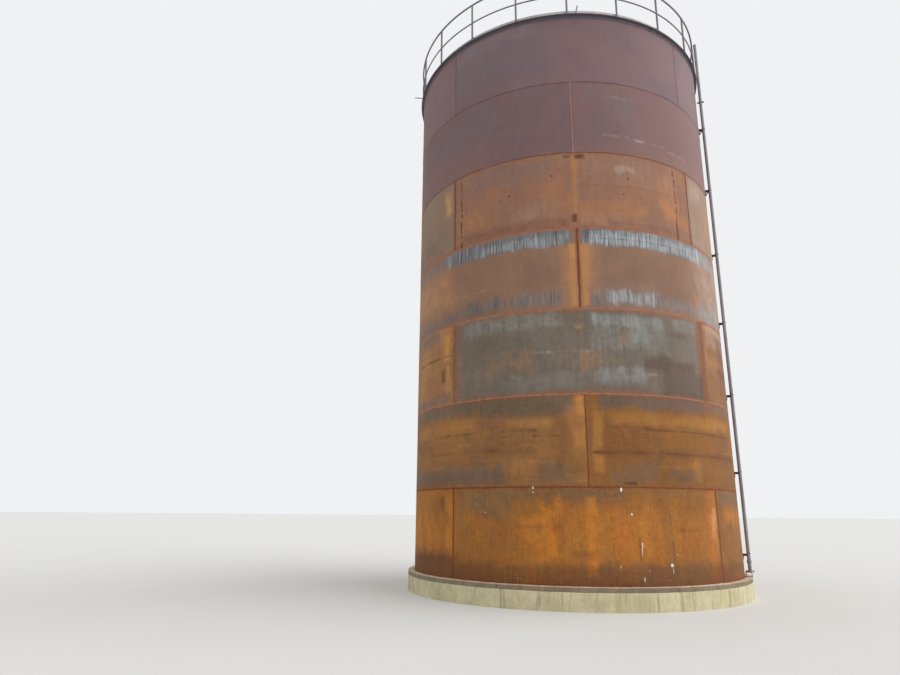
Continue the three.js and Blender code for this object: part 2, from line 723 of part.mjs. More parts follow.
addPiece('walkway_landing', landingGeometry(), RAIL_STEEL);
addPiece('standpipe', standpipeGeometry(), PIPE_STEEL);

const manway = new THREE.Group();
manway.rotation.z = THREE.MathUtils.degToRad(MANWAY_BEARING);
addPiece('manway_neck', manwayNeckGeometry(), FITTING_STEEL, manway);
addPiece('manway_cover', manwayCoverGeometry(), FITTING_STEEL, manway);
addPiece('manway_davit', davitGeometry(), FITTING_STEEL, manway);
tank.add(manway);

export default tank;
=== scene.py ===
"""Looks of a vertical storage tank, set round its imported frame.

The rolled plates of the wall, the weld beads, the curb ring, the guard rail, the standpipe, the manway and
the fittings on the roof are surfaces worked out on grids, and each finish is a set of procedural nodes.
Metres, +Z up, with the origin on the tank's axis at the underside of its plinth. A bearing is an angle in
degrees round the tank, 0 at the -Y side and growing towards +X.
"""

import logging
import math
from collections.abc import Sequence
from dataclasses import dataclass, field, replace
from enum import Enum

import bpy
import numpy as np
from mathutils import Matrix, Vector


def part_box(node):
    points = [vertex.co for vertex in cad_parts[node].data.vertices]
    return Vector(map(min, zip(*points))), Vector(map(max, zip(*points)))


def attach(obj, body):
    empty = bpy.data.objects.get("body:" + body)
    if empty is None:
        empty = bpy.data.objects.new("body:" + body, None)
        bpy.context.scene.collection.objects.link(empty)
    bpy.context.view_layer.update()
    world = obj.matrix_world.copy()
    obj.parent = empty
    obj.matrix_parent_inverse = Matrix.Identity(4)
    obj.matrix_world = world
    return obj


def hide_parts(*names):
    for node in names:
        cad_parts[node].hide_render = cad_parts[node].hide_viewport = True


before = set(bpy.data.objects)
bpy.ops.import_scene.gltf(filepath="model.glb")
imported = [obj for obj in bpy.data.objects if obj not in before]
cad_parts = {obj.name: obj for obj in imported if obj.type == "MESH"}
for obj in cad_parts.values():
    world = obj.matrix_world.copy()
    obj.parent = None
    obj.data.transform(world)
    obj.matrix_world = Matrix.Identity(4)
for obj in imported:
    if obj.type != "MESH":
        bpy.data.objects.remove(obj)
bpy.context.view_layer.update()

Array = np.ndarray
Tone = tuple[float, float, float]
Vec = Sequence[float] | Array
Numbers = float | Vec
Profile = Sequence[tuple[float, float]]
Socket = bpy.types.NodeSocket
Material = bpy.types.Material
Object = bpy.types.Object

BODY = "root"
UV_NAME = "surface"
SHARP_ANGLE = math.radians(35)
UP = np.array([0.0, 0.0, 1.0])
LEVEL_STEPS = 760
# Gap between two pieces that touch, how deep a skin sinks into the one under it, the round on edges and
# the radius of a handle's rod, in metres
GAP = 0.0004
SUNK = 0.001
EDGE = 0.0015
ROD = 0.009

log = logging.getLogger("tank")


# Noise and soft steps on whole arrays


def lattice(x: Array, y: Array, seed: float) -> Array:
    """Scattered value from 0 to 1 at each whole point: the fraction left of a large sine."""
    wave = np.sin(x * 127.1 + y * 311.7 + seed * 74.7) * 43758.5453
    return wave - np.floor(wave)


def value_noise(x: Array, y: Array, seed: float) -> Array:
    """Smooth noise from 0 to 1: the four lattice values round a point, blended by a cubic of its place.

    Args:
        x: first coordinates.
        y: second coordinates.
        seed: which noise.

    Returns:
        A value for each point.
    """
    left, low = np.floor(x), np.floor(y)
    across, up = x - left, y - low
    across, up = across * across * (3 - 2 * across), up * up * (3 - 2 * up)
    foot = lattice(left, low, seed) * (1 - across) + lattice(left + 1, low, seed) * across
    head = lattice(left, low + 1, seed) * (1 - across) + lattice(left + 1, low + 1, seed) * across
    return foot * (1 - up) + head * up


def cloud(x: Array, y: Array, seed: float, layers: int = 4) -> Array:
    """Layered noise from 0 to 1: each layer is twice as fine and half as strong as the last."""
    shares = [0.5**k for k in range(layers)]
    return sum(s * value_noise(x * 2**k, y * 2**k, seed + k) for k, s in enumerate(shares)) / sum(shares)


def soft_step(low: float, high: float, value: Array) -> Array:
    """Rises from 0 at low to 1 at high along a cubic, and stays level outside them."""
    share = np.clip((value - low) / (high - low), 0, 1)
    return share * share * (3 - 2 * share)


def fade_ends(along: Array, end: float, width: float) -> Array:
    """1 along the middle of a line and 0 at both ends, so that noise on a closed line meets itself."""
    return np.minimum(soft_step(0, width, along), soft_step(0, width, end - along))


# Places and directions


def place(radius: Numbers, bearing: Numbers, height: Numbers) -> Array:
    """Points at distances from the tank's axis, bearings and heights: (r sin b, -r cos b, z)."""
    radius, angle, height = np.broadcast_arrays(radius, np.radians(bearing), height)
    return np.stack([radius * np.sin(angle), -radius * np.cos(angle), height], -1)


def unit(vectors: Array) -> Array:
    """Vectors of length one in the same directions."""
    vectors = np.asarray(vectors, float)
    return vectors / np.linalg.norm(vectors, axis=-1, keepdims=True)


def full_turn(count: int) -> Array:
    """Even bearings all the way round, in degrees."""
    return np.arange(count) * 360 / count


def length_along(line: Array, closed: bool) -> Array:
    """Distance along a line to each point, and on to the first one again where it is closed."""
    whole = np.vstack([line, line[:1]]) if closed else line
    return np.concatenate([[0.0], np.cumsum(np.linalg.norm(np.diff(whole, axis=0), axis=1))])


@dataclass(frozen=True)
class Station:
    """A place on the tank's round wall, with its own directions.

    bearing is where it stands. Across grows with the bearing, out leads away from the axis.
    """

    bearing: float

    @property
    def out(self) -> Array:
        """Direction away from the tank's axis."""
        return place(1.0, self.bearing, 0.0)

    @property
    def across(self) -> Array:
        """Level direction along the wall, to the right of a viewer who faces it."""
        return place(1.0, self.bearing + 90, 0.0)

    def at(self, across: Numbers, out: Numbers, up: Numbers) -> Array:
        """Points by their distances across, out from the axis and up."""
        across, out, up = (np.asarray(x, float)[..., None] for x in (across, out, up))
        return across * self.across + out * self.out + up * UP

    def beam(
        self, across: Numbers, out: Numbers, up: Numbers, outline: Array, over: Vec = UP
    ) -> "Surface":
        """Bar of one section through points by their distances, its upper side towards over."""
        return bar(self.at(across, out, up), outline, over)


# Surfaces


@dataclass
class Surface:
    """Closed skins, ready for a mesh.

    points has a row of x, y and z for each vertex, corners the vertex of each face corner, and sizes the
    number of corners of each face. uv has a pair for each corner, in metres along the surface. masks are
    named values for each vertex.
    """

    points: Array
    corners: Array
    sizes: Array
    uv: Array
    masks: dict[str, Array] = field(default_factory=dict)

    def outward(self) -> "Surface":
        """The same skin with its faces pointing outwards.

        The volume inside is a sixth of the sum of a . (b x c) over the triangles that fan out over each
        face. Where that sum is negative, each face's corners are reversed.

        Returns:
            The skin, itself if it points outwards already.
        """
        ends = np.repeat(np.cumsum(self.sizes), self.sizes)
        starts = ends - np.repeat(self.sizes, self.sizes)
        here = np.arange(len(self.corners))
        ahead = np.where(here + 1 == ends, starts, here + 1)
        a, b, c = (self.points[self.corners[i]] for i in (starts, here, ahead))
        if np.einsum("ij,ij->", a, np.cross(b, c)) >= 0:
            return self
        order = starts + ends - 1 - here
        return Surface(self.points, self.corners[order], self.sizes, self.uv[order], self.masks)


def joined(surfaces: Sequence[Surface]) -> Surface:
    """Several skins as one without masks, or the skin itself where there is but one.

    Args:
        surfaces: the skins.

    Returns:
        One surface with all their faces.
    """
    if len(surfaces) == 1:
        return surfaces[0]
    starts = np.cumsum([0] + [len(s.points) for s in surfaces[:-1]])
    corners = [s.corners + start for s, start in zip(surfaces, starts)]
    parts = ([s.points for s in surfaces], corners, [s.sizes for s in surfaces], [s.uv for s in surfaces])
    return Surface(*(np.concatenate(part) for part in parts))


def skin(
    sections: Array, wrap: bool = False, along: Array | None = None, across: Array | None = None
) -> Surface:
    """Skin over closed sections: quads join each section to the next.

    Args:
        sections: rows of points, one closed section a row.
        wrap: whether the last section joins the first. If not, a flat face closes each end.
        along: u of each section, or None for the distance between the sections' middles.
        across: v of each point round a section, or None for the distance round the first section.

    Returns:
        The closed skin, its faces outwards.
    """
    rows, columns = sections.shape[:2]
    along = length_along(sections.mean(1), wrap) if along is None else along
    across = length_along(sections[0], True) if across is None else across
    i, j = np.ogrid[: rows if wrap else rows - 1, :columns]
    below, above, beside = i * columns, (i + 1) % rows * columns, (j + 1) % columns
    quads = np.stack([below + j, below + beside, above + beside, above + j], -1)
    u = np.stack([along[i], along[i], along[i + 1], along[i + 1]], -1)
    v = np.stack([across[j], across[j + 1], across[j + 1], across[j]], -1)
    corners = [quads.reshape(-1)]
    sizes = [np.full(quads.shape[0] * columns, 4)]
    uv = [np.stack(np.broadcast_arrays(u, v), -1).reshape(-1, 2)]
    if not wrap:
        ring = np.arange(columns)
        for order, row in ((ring[::-1], 0), (ring, rows - 1)):
            corners.append(order + row * columns)
            sizes.append(np.array([columns]))
            uv.append(np.stack([np.full(columns, along[row]), across[order]], -1))
    points = sections.reshape(-1, 3)
    return Surface(points, np.concatenate(corners), np.concatenate(sizes), np.concatenate(uv)).outward()


def turned(
    profile: Profile, foot: Vec, axis: Vec, sides: int, hollow: bool = False, start: float = 0.0
) -> Surface:
    """Skin of revolution about any line: each (radius, distance along) pair becomes a round section.

    Args:
        profile: (radius, distance along the line) pairs.
        foot: where the line starts.
        axis: the line's direction.
        sides: corners of a round section.
        hollow: whether the profile closes on itself, as for a pipe with a bore.
        start: angle of the first corner in degrees.

    Returns:
        The closed skin.
    """
    axis = unit(axis)
    helper = UP if abs(axis[2]) < 0.9 else np.array([0.0, 1.0, 0.0])
    side = unit(np.cross(axis, helper))
    other = np.cross(axis, side)
    angle = np.radians(start) + 2 * np.pi * np.arange(sides) / sides
    circle = np.cos(angle)[:, None] * side + np.sin(angle)[:, None] * other
    outline = np.asarray(profile, float)
    centres = np.asarray(foot, float) + outline[:, 1, None] * axis
    return skin(centres[:, None] + outline[:, 0, None, None] * circle, hollow)


def bar(path: Array, outline: Array, up: Vec = UP) -> Surface:
    """A section carried along a path, square to it: point + side x outline.x + over x outline.y.

    Args:
        path: the points that the section follows.
        outline: the section's corners, sideways and upwards.
        up: the direction that the section's upper side leans to, not along the path.

    Returns:
        The closed skin.
    """
    ahead = unit(np.gradient(path, axis=0))
    side = unit(np.cross(ahead, up))
    over = np.cross(side, ahead)
    spread = side[:, None] * outline[None, :, :1] + over[:, None] * outline[None, :, 1:]
    return skin(path[:, None] + spread)


def round_outline(radius: float, sides: int) -> Array:
    """Corners of a round section: radius times (cos, sin) at even angles."""
    angle = 2 * np.pi * (np.arange(sides) + 0.5) / sides
    return radius * np.stack([np.cos(angle), np.sin(angle)], 1)


def box_outline(width: float, height: float) -> Array:
    """Corners of an oblong section about its middle."""
    return np.array([[-1, -1], [1, -1], [1, 1], [-1, 1]]) * (width / 2, height / 2)


def disc(radius: float, low: float, high: float, edge: float = EDGE) -> Profile:
    """Profile of a disc with its two rims cut off."""
    return [(radius - edge, low), (radius, low + edge), (radius, high - edge), (radius - edge, high)]


def sleeve(inner: float, outer: float, low: float, high: float) -> Profile:
    """Closed profile of a pipe's wall."""
    return [(inner, low), (outer, low), (outer, high), (inner, high)]


def rounded_path(corners: Array, bend: float, steps: int = 8) -> Array:
    """Path through corners, each rounded by a parabola between points a bend's length from it.

    Args:
        corners: the path's ends and corners.
        bend: how far from a corner its bend starts.
        steps: points in a bend.

    Returns:
        The path's points.
    """
    points = [corners[:1]]
    for before, corner, after in zip(corners, corners[1:], corners[2:]):
        start = corner + unit(before - corner) * bend
        end = corner + unit(after - corner) * bend
        share = np.linspace(0, 1, steps)[:, None]
        points.append((1 - share) ** 2 * start + 2 * share * (1 - share) * corner + share**2 * end)
    return np.vstack([*points, corners[-1:]])


def hex_bolt(seat: Vec, axis: Vec, across: float, grip: float) -> Surface:
    """Hexagon bolt: head and washer outside the seat, nut and thread end behind the grip.

    Args:
        seat: middle of the washer's underside.
        axis: direction from the seat to the head.
        across: width across the head's flats.
        grip: thickness that it holds.

    Returns:
        The bolt's skins.
    """
    corner = across / math.sqrt(3)
    washer, head, tail = 0.18 * across, 0.62 * across, 0.45 * across
    seat, axis = np.asarray(seat, float), unit(axis)
    outer = [(1.05 * across, 0.0), (1.05 * across, washer)]
    cap = [(corner, washer), (corner, washer + 0.8 * head), (0.86 * corner, washer + head)]
    nut = [(corner, 0.0), (corner, 0.8 * head), (0.86 * corner, head)]
    stud = [(0.3 * across, 0.9 * head), (0.3 * across, head + tail), (0.24 * across, head + 1.2 * tail)]
    back = seat - axis * grip
    head_skins = [turned(outer, seat, axis, 14), turned(cap, seat, axis, 6)]
    return joined([*head_skins, turned(nut, back, -axis, 6, start=20), turned(stud, back, -axis, 10)])


def bead(path: Array, out: Array, width: float, rise: float, seed: float, wrap: bool = False) -> Surface:
    """Weld bead: a low half ellipse along a path, its width and rise wandering with noise.

    Args:
        path: the bead's middle line.
        out: direction away from the plate at each point.
        width: mean width.
        rise: mean height.
        seed: which noise.
        wrap: whether the path closes on itself.

    Returns:
        The closed skin.
    """
    ahead = unit(np.roll(path, -1, 0) - np.roll(path, 1, 0) if wrap else np.gradient(path, axis=0))
    side = np.cross(ahead, out)
    step = np.arange(len(path), dtype=float)
    wander = cloud(step * 0.37, step * 0, seed) - 0.5
    ripple = cloud(step * 0.9, step * 0 + 3, seed + 5) - 0.5
    if wrap:
        ends = fade_ends(step, len(path) - 1, 12)
        wander, ripple = wander * ends, ripple * ends
    angle = np.linspace(0, np.pi, 6)
    reach = np.concatenate([np.cos(angle), [0.0]])
    height = np.concatenate([np.sin(angle), [-0.4]])
    sideways = (0.5 * width * (1 + 0.35 * ripple))[:, None] * reach + (0.25 * width * wander)[:, None]
    outwards = (rise * (1 + 0.7 * ripple))[:, None] * height
    points = path[:, None] + side[:, None] * sideways[..., None] + out[:, None] * outwards[..., None]
    return skin(points, wrap)


def level_bead(radius: float, height: float, width: float, rise: float, seed: float) -> Surface:
    """A bead all the way round the tank at one height."""
    bearings = full_turn(LEVEL_STEPS)
    return bead(place(radius, bearings, height), place(1.0, bearings, 0.0), width, rise, seed, True)


def uneven_oval(wide: float, tall: float, seed: float) -> tuple[Array, Array, Array]:
    """Rings of an uneven oval that shrink as they rise: sideways, upwards, and 1 - f squared on ring f.

    Args:
        wide: half its width.
        tall: half its height.
        seed: which noise.

    Returns:
        Distances sideways and upwards, and the share of its full rise.
    """
    turn = np.radians(full_turn(14))
    shrink = np.array([1.0, 0.86, 0.6, 0.25])[:, None]
    uneven = shrink * (0.75 + 0.5 * cloud(np.cos(turn) * 1.5 + 7, np.sin(turn) * 1.5 + 7, seed, 2))
    return wide * np.cos(turn) * uneven, tall * np.sin(turn) * uneven, 1 - shrink**2


# Colours and nodes


def linear(tone: Tone) -> tuple[float, ...]:
    """A colour of three display values from 0 to 255 as linear values for a shader."""
    share = np.asarray(tone, float) / 255
    return (*np.where(share <= 0.04045, share / 12.92, ((share + 0.055) / 1.055) ** 2.4).tolist(), 1.0)


class Mask(Enum):
    """What a vertex value of a wall plate says. SHIFT moves the noise from plate to plate."""

    SCALE = "mill_scale"
    GLOW = "fresh_rust"
    STAIN = "dark_stain"
    BLOOM = "pale_bloom"
    SHIFT = "noise_shift"


class NodeBench:
    """Adds linked nodes to one new material."""

    def __init__(self, name: str) -> None:
        """Starts the material without any node.

        Args:
            name: the material's name.
        """
        self.material = bpy.data.materials.new(name)
        self.material.use_nodes = True
        self.tree = self.material.node_tree
        self.tree.nodes.clear()

    def node(self, kind: str, inputs: dict, output: int | str = 0, **settings: object) -> Socket:
        """One output of a new node with its settings, and its inputs set or linked.

        Args:
            kind: its type, without the prefix that all shader nodes have.
            inputs: values or sockets by the name or index of an input.
            output: name or index of the output.
            settings: its own properties.

        Returns:
            The output.
        """
        node = self.tree.nodes.new("ShaderNode" + kind)
        for key, value in settings.items():
            setattr(node, key, value)
        for key, value in inputs.items():
            if isinstance(value, Socket):
                self.tree.links.new(value, node.inputs[key])
            else:
                node.inputs[key].default_value = value
        return node.outputs[output]

    def math(self, operation: str, *values: object) -> Socket:
        """Result of a Math node."""
        return self.node("Math", dict(enumerate(values)), operation=operation)

    def fade(self, value: object, low: float, high: float, top: float = 1.0) -> Socket:
        """Soft step from 0 at low to top at high. It falls where low is the larger."""
        inputs = {"Value": value, "From Min": low, "From Max": high, "To Min": 0.0, "To Max": top}
        return self.node("MapRange", inputs, interpolation_type="SMOOTHSTEP")

    def noise(
        self, spot: object, scale: Numbers, detail: float, rough: float = 0.55, bend: float = 0.0
    ) -> Socket:
        """Noise value from 0 to 1 at a spot. Three scales draw it out along the axes.

        Args:
            spot: coordinates.
            scale: waves in a metre, in all or in each direction.
            detail: number of finer layers.
            rough: share of each finer layer.
            bend: distortion.

        Returns:
            The value.
        """
        if not isinstance(scale, float):
            spot = self.node("Mapping", {"Vector": spot, "Scale": scale})
            scale = 1.0
        inputs = {"Vector": spot, "Scale": scale, "Detail": detail, "Roughness": rough, "Distortion": bend}
        return self.node("TexNoise", inputs, "Fac")

    def blend(self, share: object, first: object, second: object) -> Socket:
        """Colour between two, by a share from 0 to 1."""
        return self.node("Mix", {0: share, 6: first, 7: second}, 2, data_type="RGBA")

    def between(self, share: object, first: object, second: object) -> Socket:
        """Number between two, by a share from 0 to 1."""
        return self.node("Mix", {0: share, 2: first, 3: second}, data_type="FLOAT")

    def coats(self, colour: object, *coats: tuple) -> Socket:
        """A colour under coats: each is a value, where it fades in from and to, its strength and its tone.

        Args:
            colour: what lies under them.
            coats: the coats, from the lowest on.

        Returns:
            The colour.
        """
        for value, low, high, strength, tone in coats:
            colour = self.blend(self.fade(value, low, high, strength), colour, linear(tone))
        return colour

    def mask(self, mask: Mask) -> Socket:
        """A plate's vertex value."""
        return self.node("Attribute", {}, "Fac", attribute_name=mask.value)

    def ragged(self, value: object, noise: object, amount: float) -> Socket:
        """A cover broken up by noise where it is neither 0 nor 1: c + amount (n - 0.5) 4 c (1 - c).

        Args:
            value: the cover c.
            noise: the noise n.
            amount: how strongly it breaks it up.

        Returns:
            The cover, from 0 to 1.
        """
        middle = self.math("MULTIPLY", value, self.math("SUBTRACT", 1.0, value))
        push = self.math("MULTIPLY", self.math("SUBTRACT", noise, 0.5), 4.0 * amount)
        total = self.math("ADD", value, self.math("MULTIPLY", middle, push))
        return self.node("Clamp", {"Value": total})

    def wander(self, base: object, *terms: tuple[object, float]) -> Socket:
        """A base value plus how far each noise lies from its middle, times its weight.

        Args:
            base: the value.
            terms: pairs of a noise and its weight.

        Returns:
            The sum.
        """
        for noise, weight in terms:
            base = self.math("MULTIPLY_ADD", self.math("SUBTRACT", noise, 0.5), weight, base)
        return base

    def uv_spot(self) -> Socket:
        """The place on the piece's own UV map, in metres."""
        return self.node("UVMap", {}, uv_map=UV_NAME)

    def object_spot(self) -> Socket:
        """The object's own coordinates, in metres."""
        return self.node("TexCoord", {}, "Object")

    def finish(
        self, colour: object, roughness: object, height: object, depth: float, gloss: float = 0.5
    ) -> Material:
        """Adds the shader with its colour, roughness, bump and gloss, and gives the material.

        Args:
            colour: base colour.
            roughness: roughness.
            height: relief of the bump.
            depth: how deep a relief of 1 is, in metres.
            gloss: specular level.

        Returns:
            The material.
        """
        bump = self.node("Bump", {"Height": height, "Distance": depth, "Strength": 0.7})
        inputs = {"Base Color": colour, "Roughness": roughness, "Normal": bump, "Specular IOR Level": gloss}
        shader = self.node("BsdfPrincipled", inputs)
        self.tree.links.new(shader, self.tree.nodes.new("ShaderNodeOutputMaterial").inputs["Surface"])
        return self.material


@dataclass(frozen=True)
class PlateFinish:
    """Weathered rolled plate: two rust tones, the mill scale on it, and how water and rolling marked it.

    Tones are display values. patches, runs, bands and lined are the strengths of hand-sized patches, upright
    and level streaks, and fine upright lines. Over the mill scale, scale_runs is the strength of dark upright
    lines and scale_sheen that of pale ones. streaked is how far upright streaks break up the pale bloom. A
    seam's tint fades out at seam_width from a level edge, and at side_width from an upright one.
    """

    name: str
    rust: Tone
    rust_two: Tone
    scale: Tone
    scale_two: Tone
    glow: Tone
    stain: Tone
    bloom: Tone
    seam: Tone
    side: Tone
    seam_width: float = 0.024
    side_width: float = 0.03
    patches: float = 0.3
    runs: float = 0.25
    bands: float = 0.0
    lined: float = 0.42
    scale_runs: float = 0.3
    scale_sheen: float = 0.2
    streaked: float = 0.3
    speckle: float = 0.5
    contrast: float = 1.0
    roughness: float = 0.85
    scale_roughness: float = 0.62

    def material(self) -> Material:
        """The material of a plate, read from its own UV map and masks.

        Returns:
            The new material.
        """
        bench = NodeBench(self.name)
        across, up = (bench.node("SeparateXYZ", {0: bench.uv_spot()}, axis) for axis in ("X", "Y"))
        depth = bench.math("MULTIPLY", bench.mask(Mask.SHIFT), 40.0)
        spot = bench.node("CombineXYZ", {0: across, 1: up, 2: depth})
        clouds = bench.noise(spot, 0.9, 5.0, 0.55)
        patches = bench.noise(spot, 3.2, 5.0, 0.6, 0.6)
        mottle = bench.noise(spot, 12.0, 6.0, 0.7)
        runs = bench.noise(spot, (11.0, 0.9, 1.0), 6.0, 0.65)
        lines = bench.noise(spot, (46.0, 1.6, 1.0), 4.0, 0.6)
        bands = bench.noise(spot, (0.7, 9.0, 1.0), 6.0, 0.65, 0.4)
        grain = bench.noise(spot, 130.0, 3.0, 0.6)
        broken = bench.between(0.5, patches, runs)
        colour = bench.coats(linear(self.rust), (clouds, 0.38, 0.62, 1.0, self.rust_two))
        for noise, strength in ((patches, self.patches), (runs, self.runs), (bands, self.bands)):
            dark = (noise, 0.52, 0.74, strength, self.stain)
            colour = bench.coats(colour, dark, (noise, 0.48, 0.3, 0.8 * strength, self.glow))
        cover = bench.ragged(bench.mask(Mask.SCALE), bench.between(0.5, patches, lines), 2.2)
        plate_scale = bench.coats(
            linear(self.scale),
            (clouds, 0.4, 0.6, 1.0, self.scale_two),
            (patches, 0.5, 0.7, 0.4, self.stain),
            (bench.between(0.35, lines, runs), 0.49, 0.36, self.scale_sheen, self.bloom),
            (lines, 0.54, 0.64, self.scale_runs, self.stain),
        )
        colour = bench.blend(cover, colour, plate_scale)
        fresh = bench.ragged(bench.mask(Mask.GLOW), broken, 1.5)
        fresh = bench.math("MULTIPLY", fresh, bench.between(0.4, 1.0, bench.fade(runs, 0.62, 0.42)))
        colour = bench.blend(fresh, colour, linear(self.glow))
        strokes = bench.fade(bench.between(0.25, lines, runs), 0.57, 0.42)
        pale = bench.ragged(bench.mask(Mask.BLOOM), broken, 1.8)
        pale = bench.math("MULTIPLY", pale, bench.between(self.streaked, 1.0, strokes))
        colour = bench.blend(pale, colour, linear(self.bloom))
        dark = bench.ragged(bench.mask(Mask.STAIN), broken, 1.8)
        colour = bench.blend(dark, colour, linear(self.stain))
        wobble = bench.math("MULTIPLY", bench.math("SUBTRACT", broken, 0.5), 0.09)
        level_edge = bench.math("MINIMUM", up, bench.math("SUBTRACT", SIZE.course, up))
        side_edge = bench.math("SUBTRACT", HALF, bench.math("ABSOLUTE", across))
        edges = ((level_edge, self.seam_width, self.seam), (side_edge, self.side_width, self.side))
        for edge, width, tone in edges:
            near = bench.math("ADD", edge, wobble)
            halo = (near, 3.0 * width, 0.0, 0.45, tone)
            colour = bench.coats(colour, halo, (near, width, 0.4 * width, 0.85, tone))
        specks = bench.noise(spot, 38.0, 2.0, 0.5)
        colour = bench.coats(colour, (specks, 0.67, 0.72, self.speckle, self.stain))
        shares = ((patches, 0.45), (mottle, 0.6), (runs, 0.55), (grain, 0.3))
        shares = (*shares, (lines, self.lined), (bands, self.bands))
        value = bench.wander(1.0, *((noise, self.contrast * share) for noise, share in shares))
        hue = bench.wander(0.5, (bench.noise(spot, 2.1, 4.0, 0.6), 0.025 * self.contrast))
        colour = bench.node("HueSaturation", {"Hue": hue, "Value": value, "Color": colour})
        rough = bench.wander(bench.between(cover, self.roughness, self.scale_roughness), (mottle, 0.4))
        relief = bench.wander(0.0, (grain, 0.5), (mottle, 1.4), (patches, 0.8), (cover, 0.4))
        return bench.finish(colour, rough, relief, 0.0015, 0.25)


@dataclass(frozen=True)
class SteelFinish:
    """Bare steel with rust on it: rust patches over a base tone, and dark streaks down its height."""

    name: str
    steel: Tone
    rust: Tone
    dark: Tone
    rusted: float = 0.5
    grain: float = 90.0
    roughness: float = 0.68
    patch: float = 5.0

    def material(self) -> Material:
        """The material, read from the object's own coordinates.

        Returns:
            The new material.
        """
        bench = NodeBench(self.name)
        spot = bench.object_spot()
        patches = bench.noise(spot, self.patch, 6.0, 0.65)
        fine = bench.noise(spot, 26.0, 5.0, 0.6)
        streaks = bench.noise(spot, (19.0, 19.0, 1.6), 4.0, 0.6)
        grain = bench.noise(spot, self.grain, 3.0, 0.6)
        wide = bench.noise(spot, 0.3 * self.patch, 4.0, 0.6)
        spread = 0.62 - 0.3 * self.rusted
        cover = bench.fade(bench.between(0.45, patches, fine), spread - 0.05, spread + 0.08)
        colour = bench.coats(
            bench.blend(cover, linear(self.steel), linear(self.rust)),
            (wide, 0.45, 0.65, 0.35, self.dark),
            (streaks, 0.5, 0.72, 0.55, self.dark),
            (grain, 0.55, 0.8, 0.5, self.dark),
        )
        rough = bench.between(cover, self.roughness - 0.12, self.roughness + 0.14)
        relief = bench.wander(0.0, (fine, 1.2), (grain, 0.5), (cover, 0.6))
        return bench.finish(colour, rough, relief, 0.0008)


@dataclass(frozen=True)
class BeadFinish:
    """Weld metal: fine ripples, dark slag in its toes and rust of its own tone."""

    name: str
    rust: Tone
    dark: Tone

    def material(self) -> Material:
        """The material. u of the UV map runs along the bead, in metres.

        Returns:
            The new material.
        """
        bench = NodeBench(self.name)
        spot = bench.object_spot()
        patches = bench.noise(spot, 8.0, 5.0, 0.65)
        fine = bench.noise(spot, 60.0, 4.0, 0.6)
        wave = {"Vector": bench.uv_spot(), "Scale": 60.0, "Distortion": 1.6, "Detail": 2.0}
        ripples = bench.node("TexWave", wave, "Fac")
        slag = (patches, 0.36, 0.66, 1.0, self.dark)
        colour = bench.coats(linear(self.rust), slag, (fine, 0.5, 0.75, 0.6, self.dark))
        relief = bench.wander(0.0, (ripples, 1.0), (fine, 1.0))
        return bench.finish(colour, bench.fade(fine, -1.6, 1.0, 0.98), relief, 0.001, 0.2)


@dataclass(frozen=True)
class ConcreteFinish:
    """Cast concrete with boards' marks and water stains down it."""

    name: str
    cement: Tone
    pale: Tone
    stain: Tone
    algae: Tone

    def material(self) -> Material:
        """The material, read from the object's own coordinates.

        Returns:
            The new material.
        """
        bench = NodeBench(self.name)
        spot = bench.object_spot()
        clouds = bench.noise(spot, 1.6, 6.0, 0.62)
        fine = bench.noise(spot, 22.0, 6.0, 0.65)
        runs = bench.noise(spot, (9.0, 9.0, 0.9), 5.0, 0.65)
        pores = bench.node("TexVoronoi", {"Vector": spot, "Scale": 55.0}, "Distance")
        colour = bench.coats(
            linear(self.cement),
            (clouds, 0.35, 0.65, 1.0, self.pale),
            (runs, 0.52, 0.68, 0.6, self.stain),
            (runs, 0.45, 0.3, 0.65, self.algae),
            (fine, 0.5, 0.75, 0.35, self.stain),
            (pores, 0.16, 0.08, 0.55, self.stain),
        )
        relief = bench.wander(0.0, (fine, 1.4), (bench.fade(pores, 0.16, 0.08), -1.0))
        return bench.finish(colour, bench.fade(fine, -1.6, 1.0, 0.98), relief, 0.003)


@dataclass(frozen=True)
class FloorFinish:
    """Pale matt floor."""

    name: str
    tone: Tone

    def material(self) -> Material:
        """The material, plain but for a faint cloudiness.

        Returns:
            The new material.
        """
        bench = NodeBench(self.name)
        haze = bench.noise(bench.object_spot(), 0.6, 3.0)
        low = linear(tuple(0.985 * channel for channel in self.tone))
        colour = bench.blend(haze, linear(self.tone), low)
        return bench.finish(colour, 0.9, haze, 0.001)


Finish = PlateFinish | SteelFinish | BeadFinish | ConcreteFinish | FloorFinish

# Finishes of this tank

MAUVE_PLATE = PlateFinish(
    name="mauve_plate", rust=(122, 97, 99), rust_two=(114, 92, 97), scale=(109, 97, 105),
    scale_two=(113, 98, 103), glow=(138, 108, 104), stain=(94, 75, 80), bloom=(156, 136, 132),
    seam=(92, 66, 68), side=(94, 70, 73), seam_width=0.014, side_width=0.012, patches=0.15, runs=0.3,
    scale_runs=0.1, scale_sheen=0.1, speckle=0.1, contrast=0.5, lined=0.3, roughness=0.72,
)
PLUM_PLATE = replace(
    MAUVE_PLATE, name="plum_plate", rust=(119, 92, 92), rust_two=(112, 89, 91), scale=(106, 88, 91),
    glow=(146, 104, 84), stain=(90, 69, 70), bloom=(176, 152, 144), seam=(98, 71, 71), side=(96, 70, 71),
)
COPPER_PLATE = PlateFinish(
    name="copper_plate", rust=(148, 106, 82), rust_two=(138, 101, 84), scale=(124, 100, 92),
    scale_two=(130, 104, 94), glow=(180, 122, 74), stain=(102, 66, 54), bloom=(164, 140, 126),
    seam=(140, 88, 66), side=(120, 74, 56), side_width=0.03, patches=0.22, runs=0.15, scale_runs=0.1,
    contrast=0.8, lined=0.2,
)
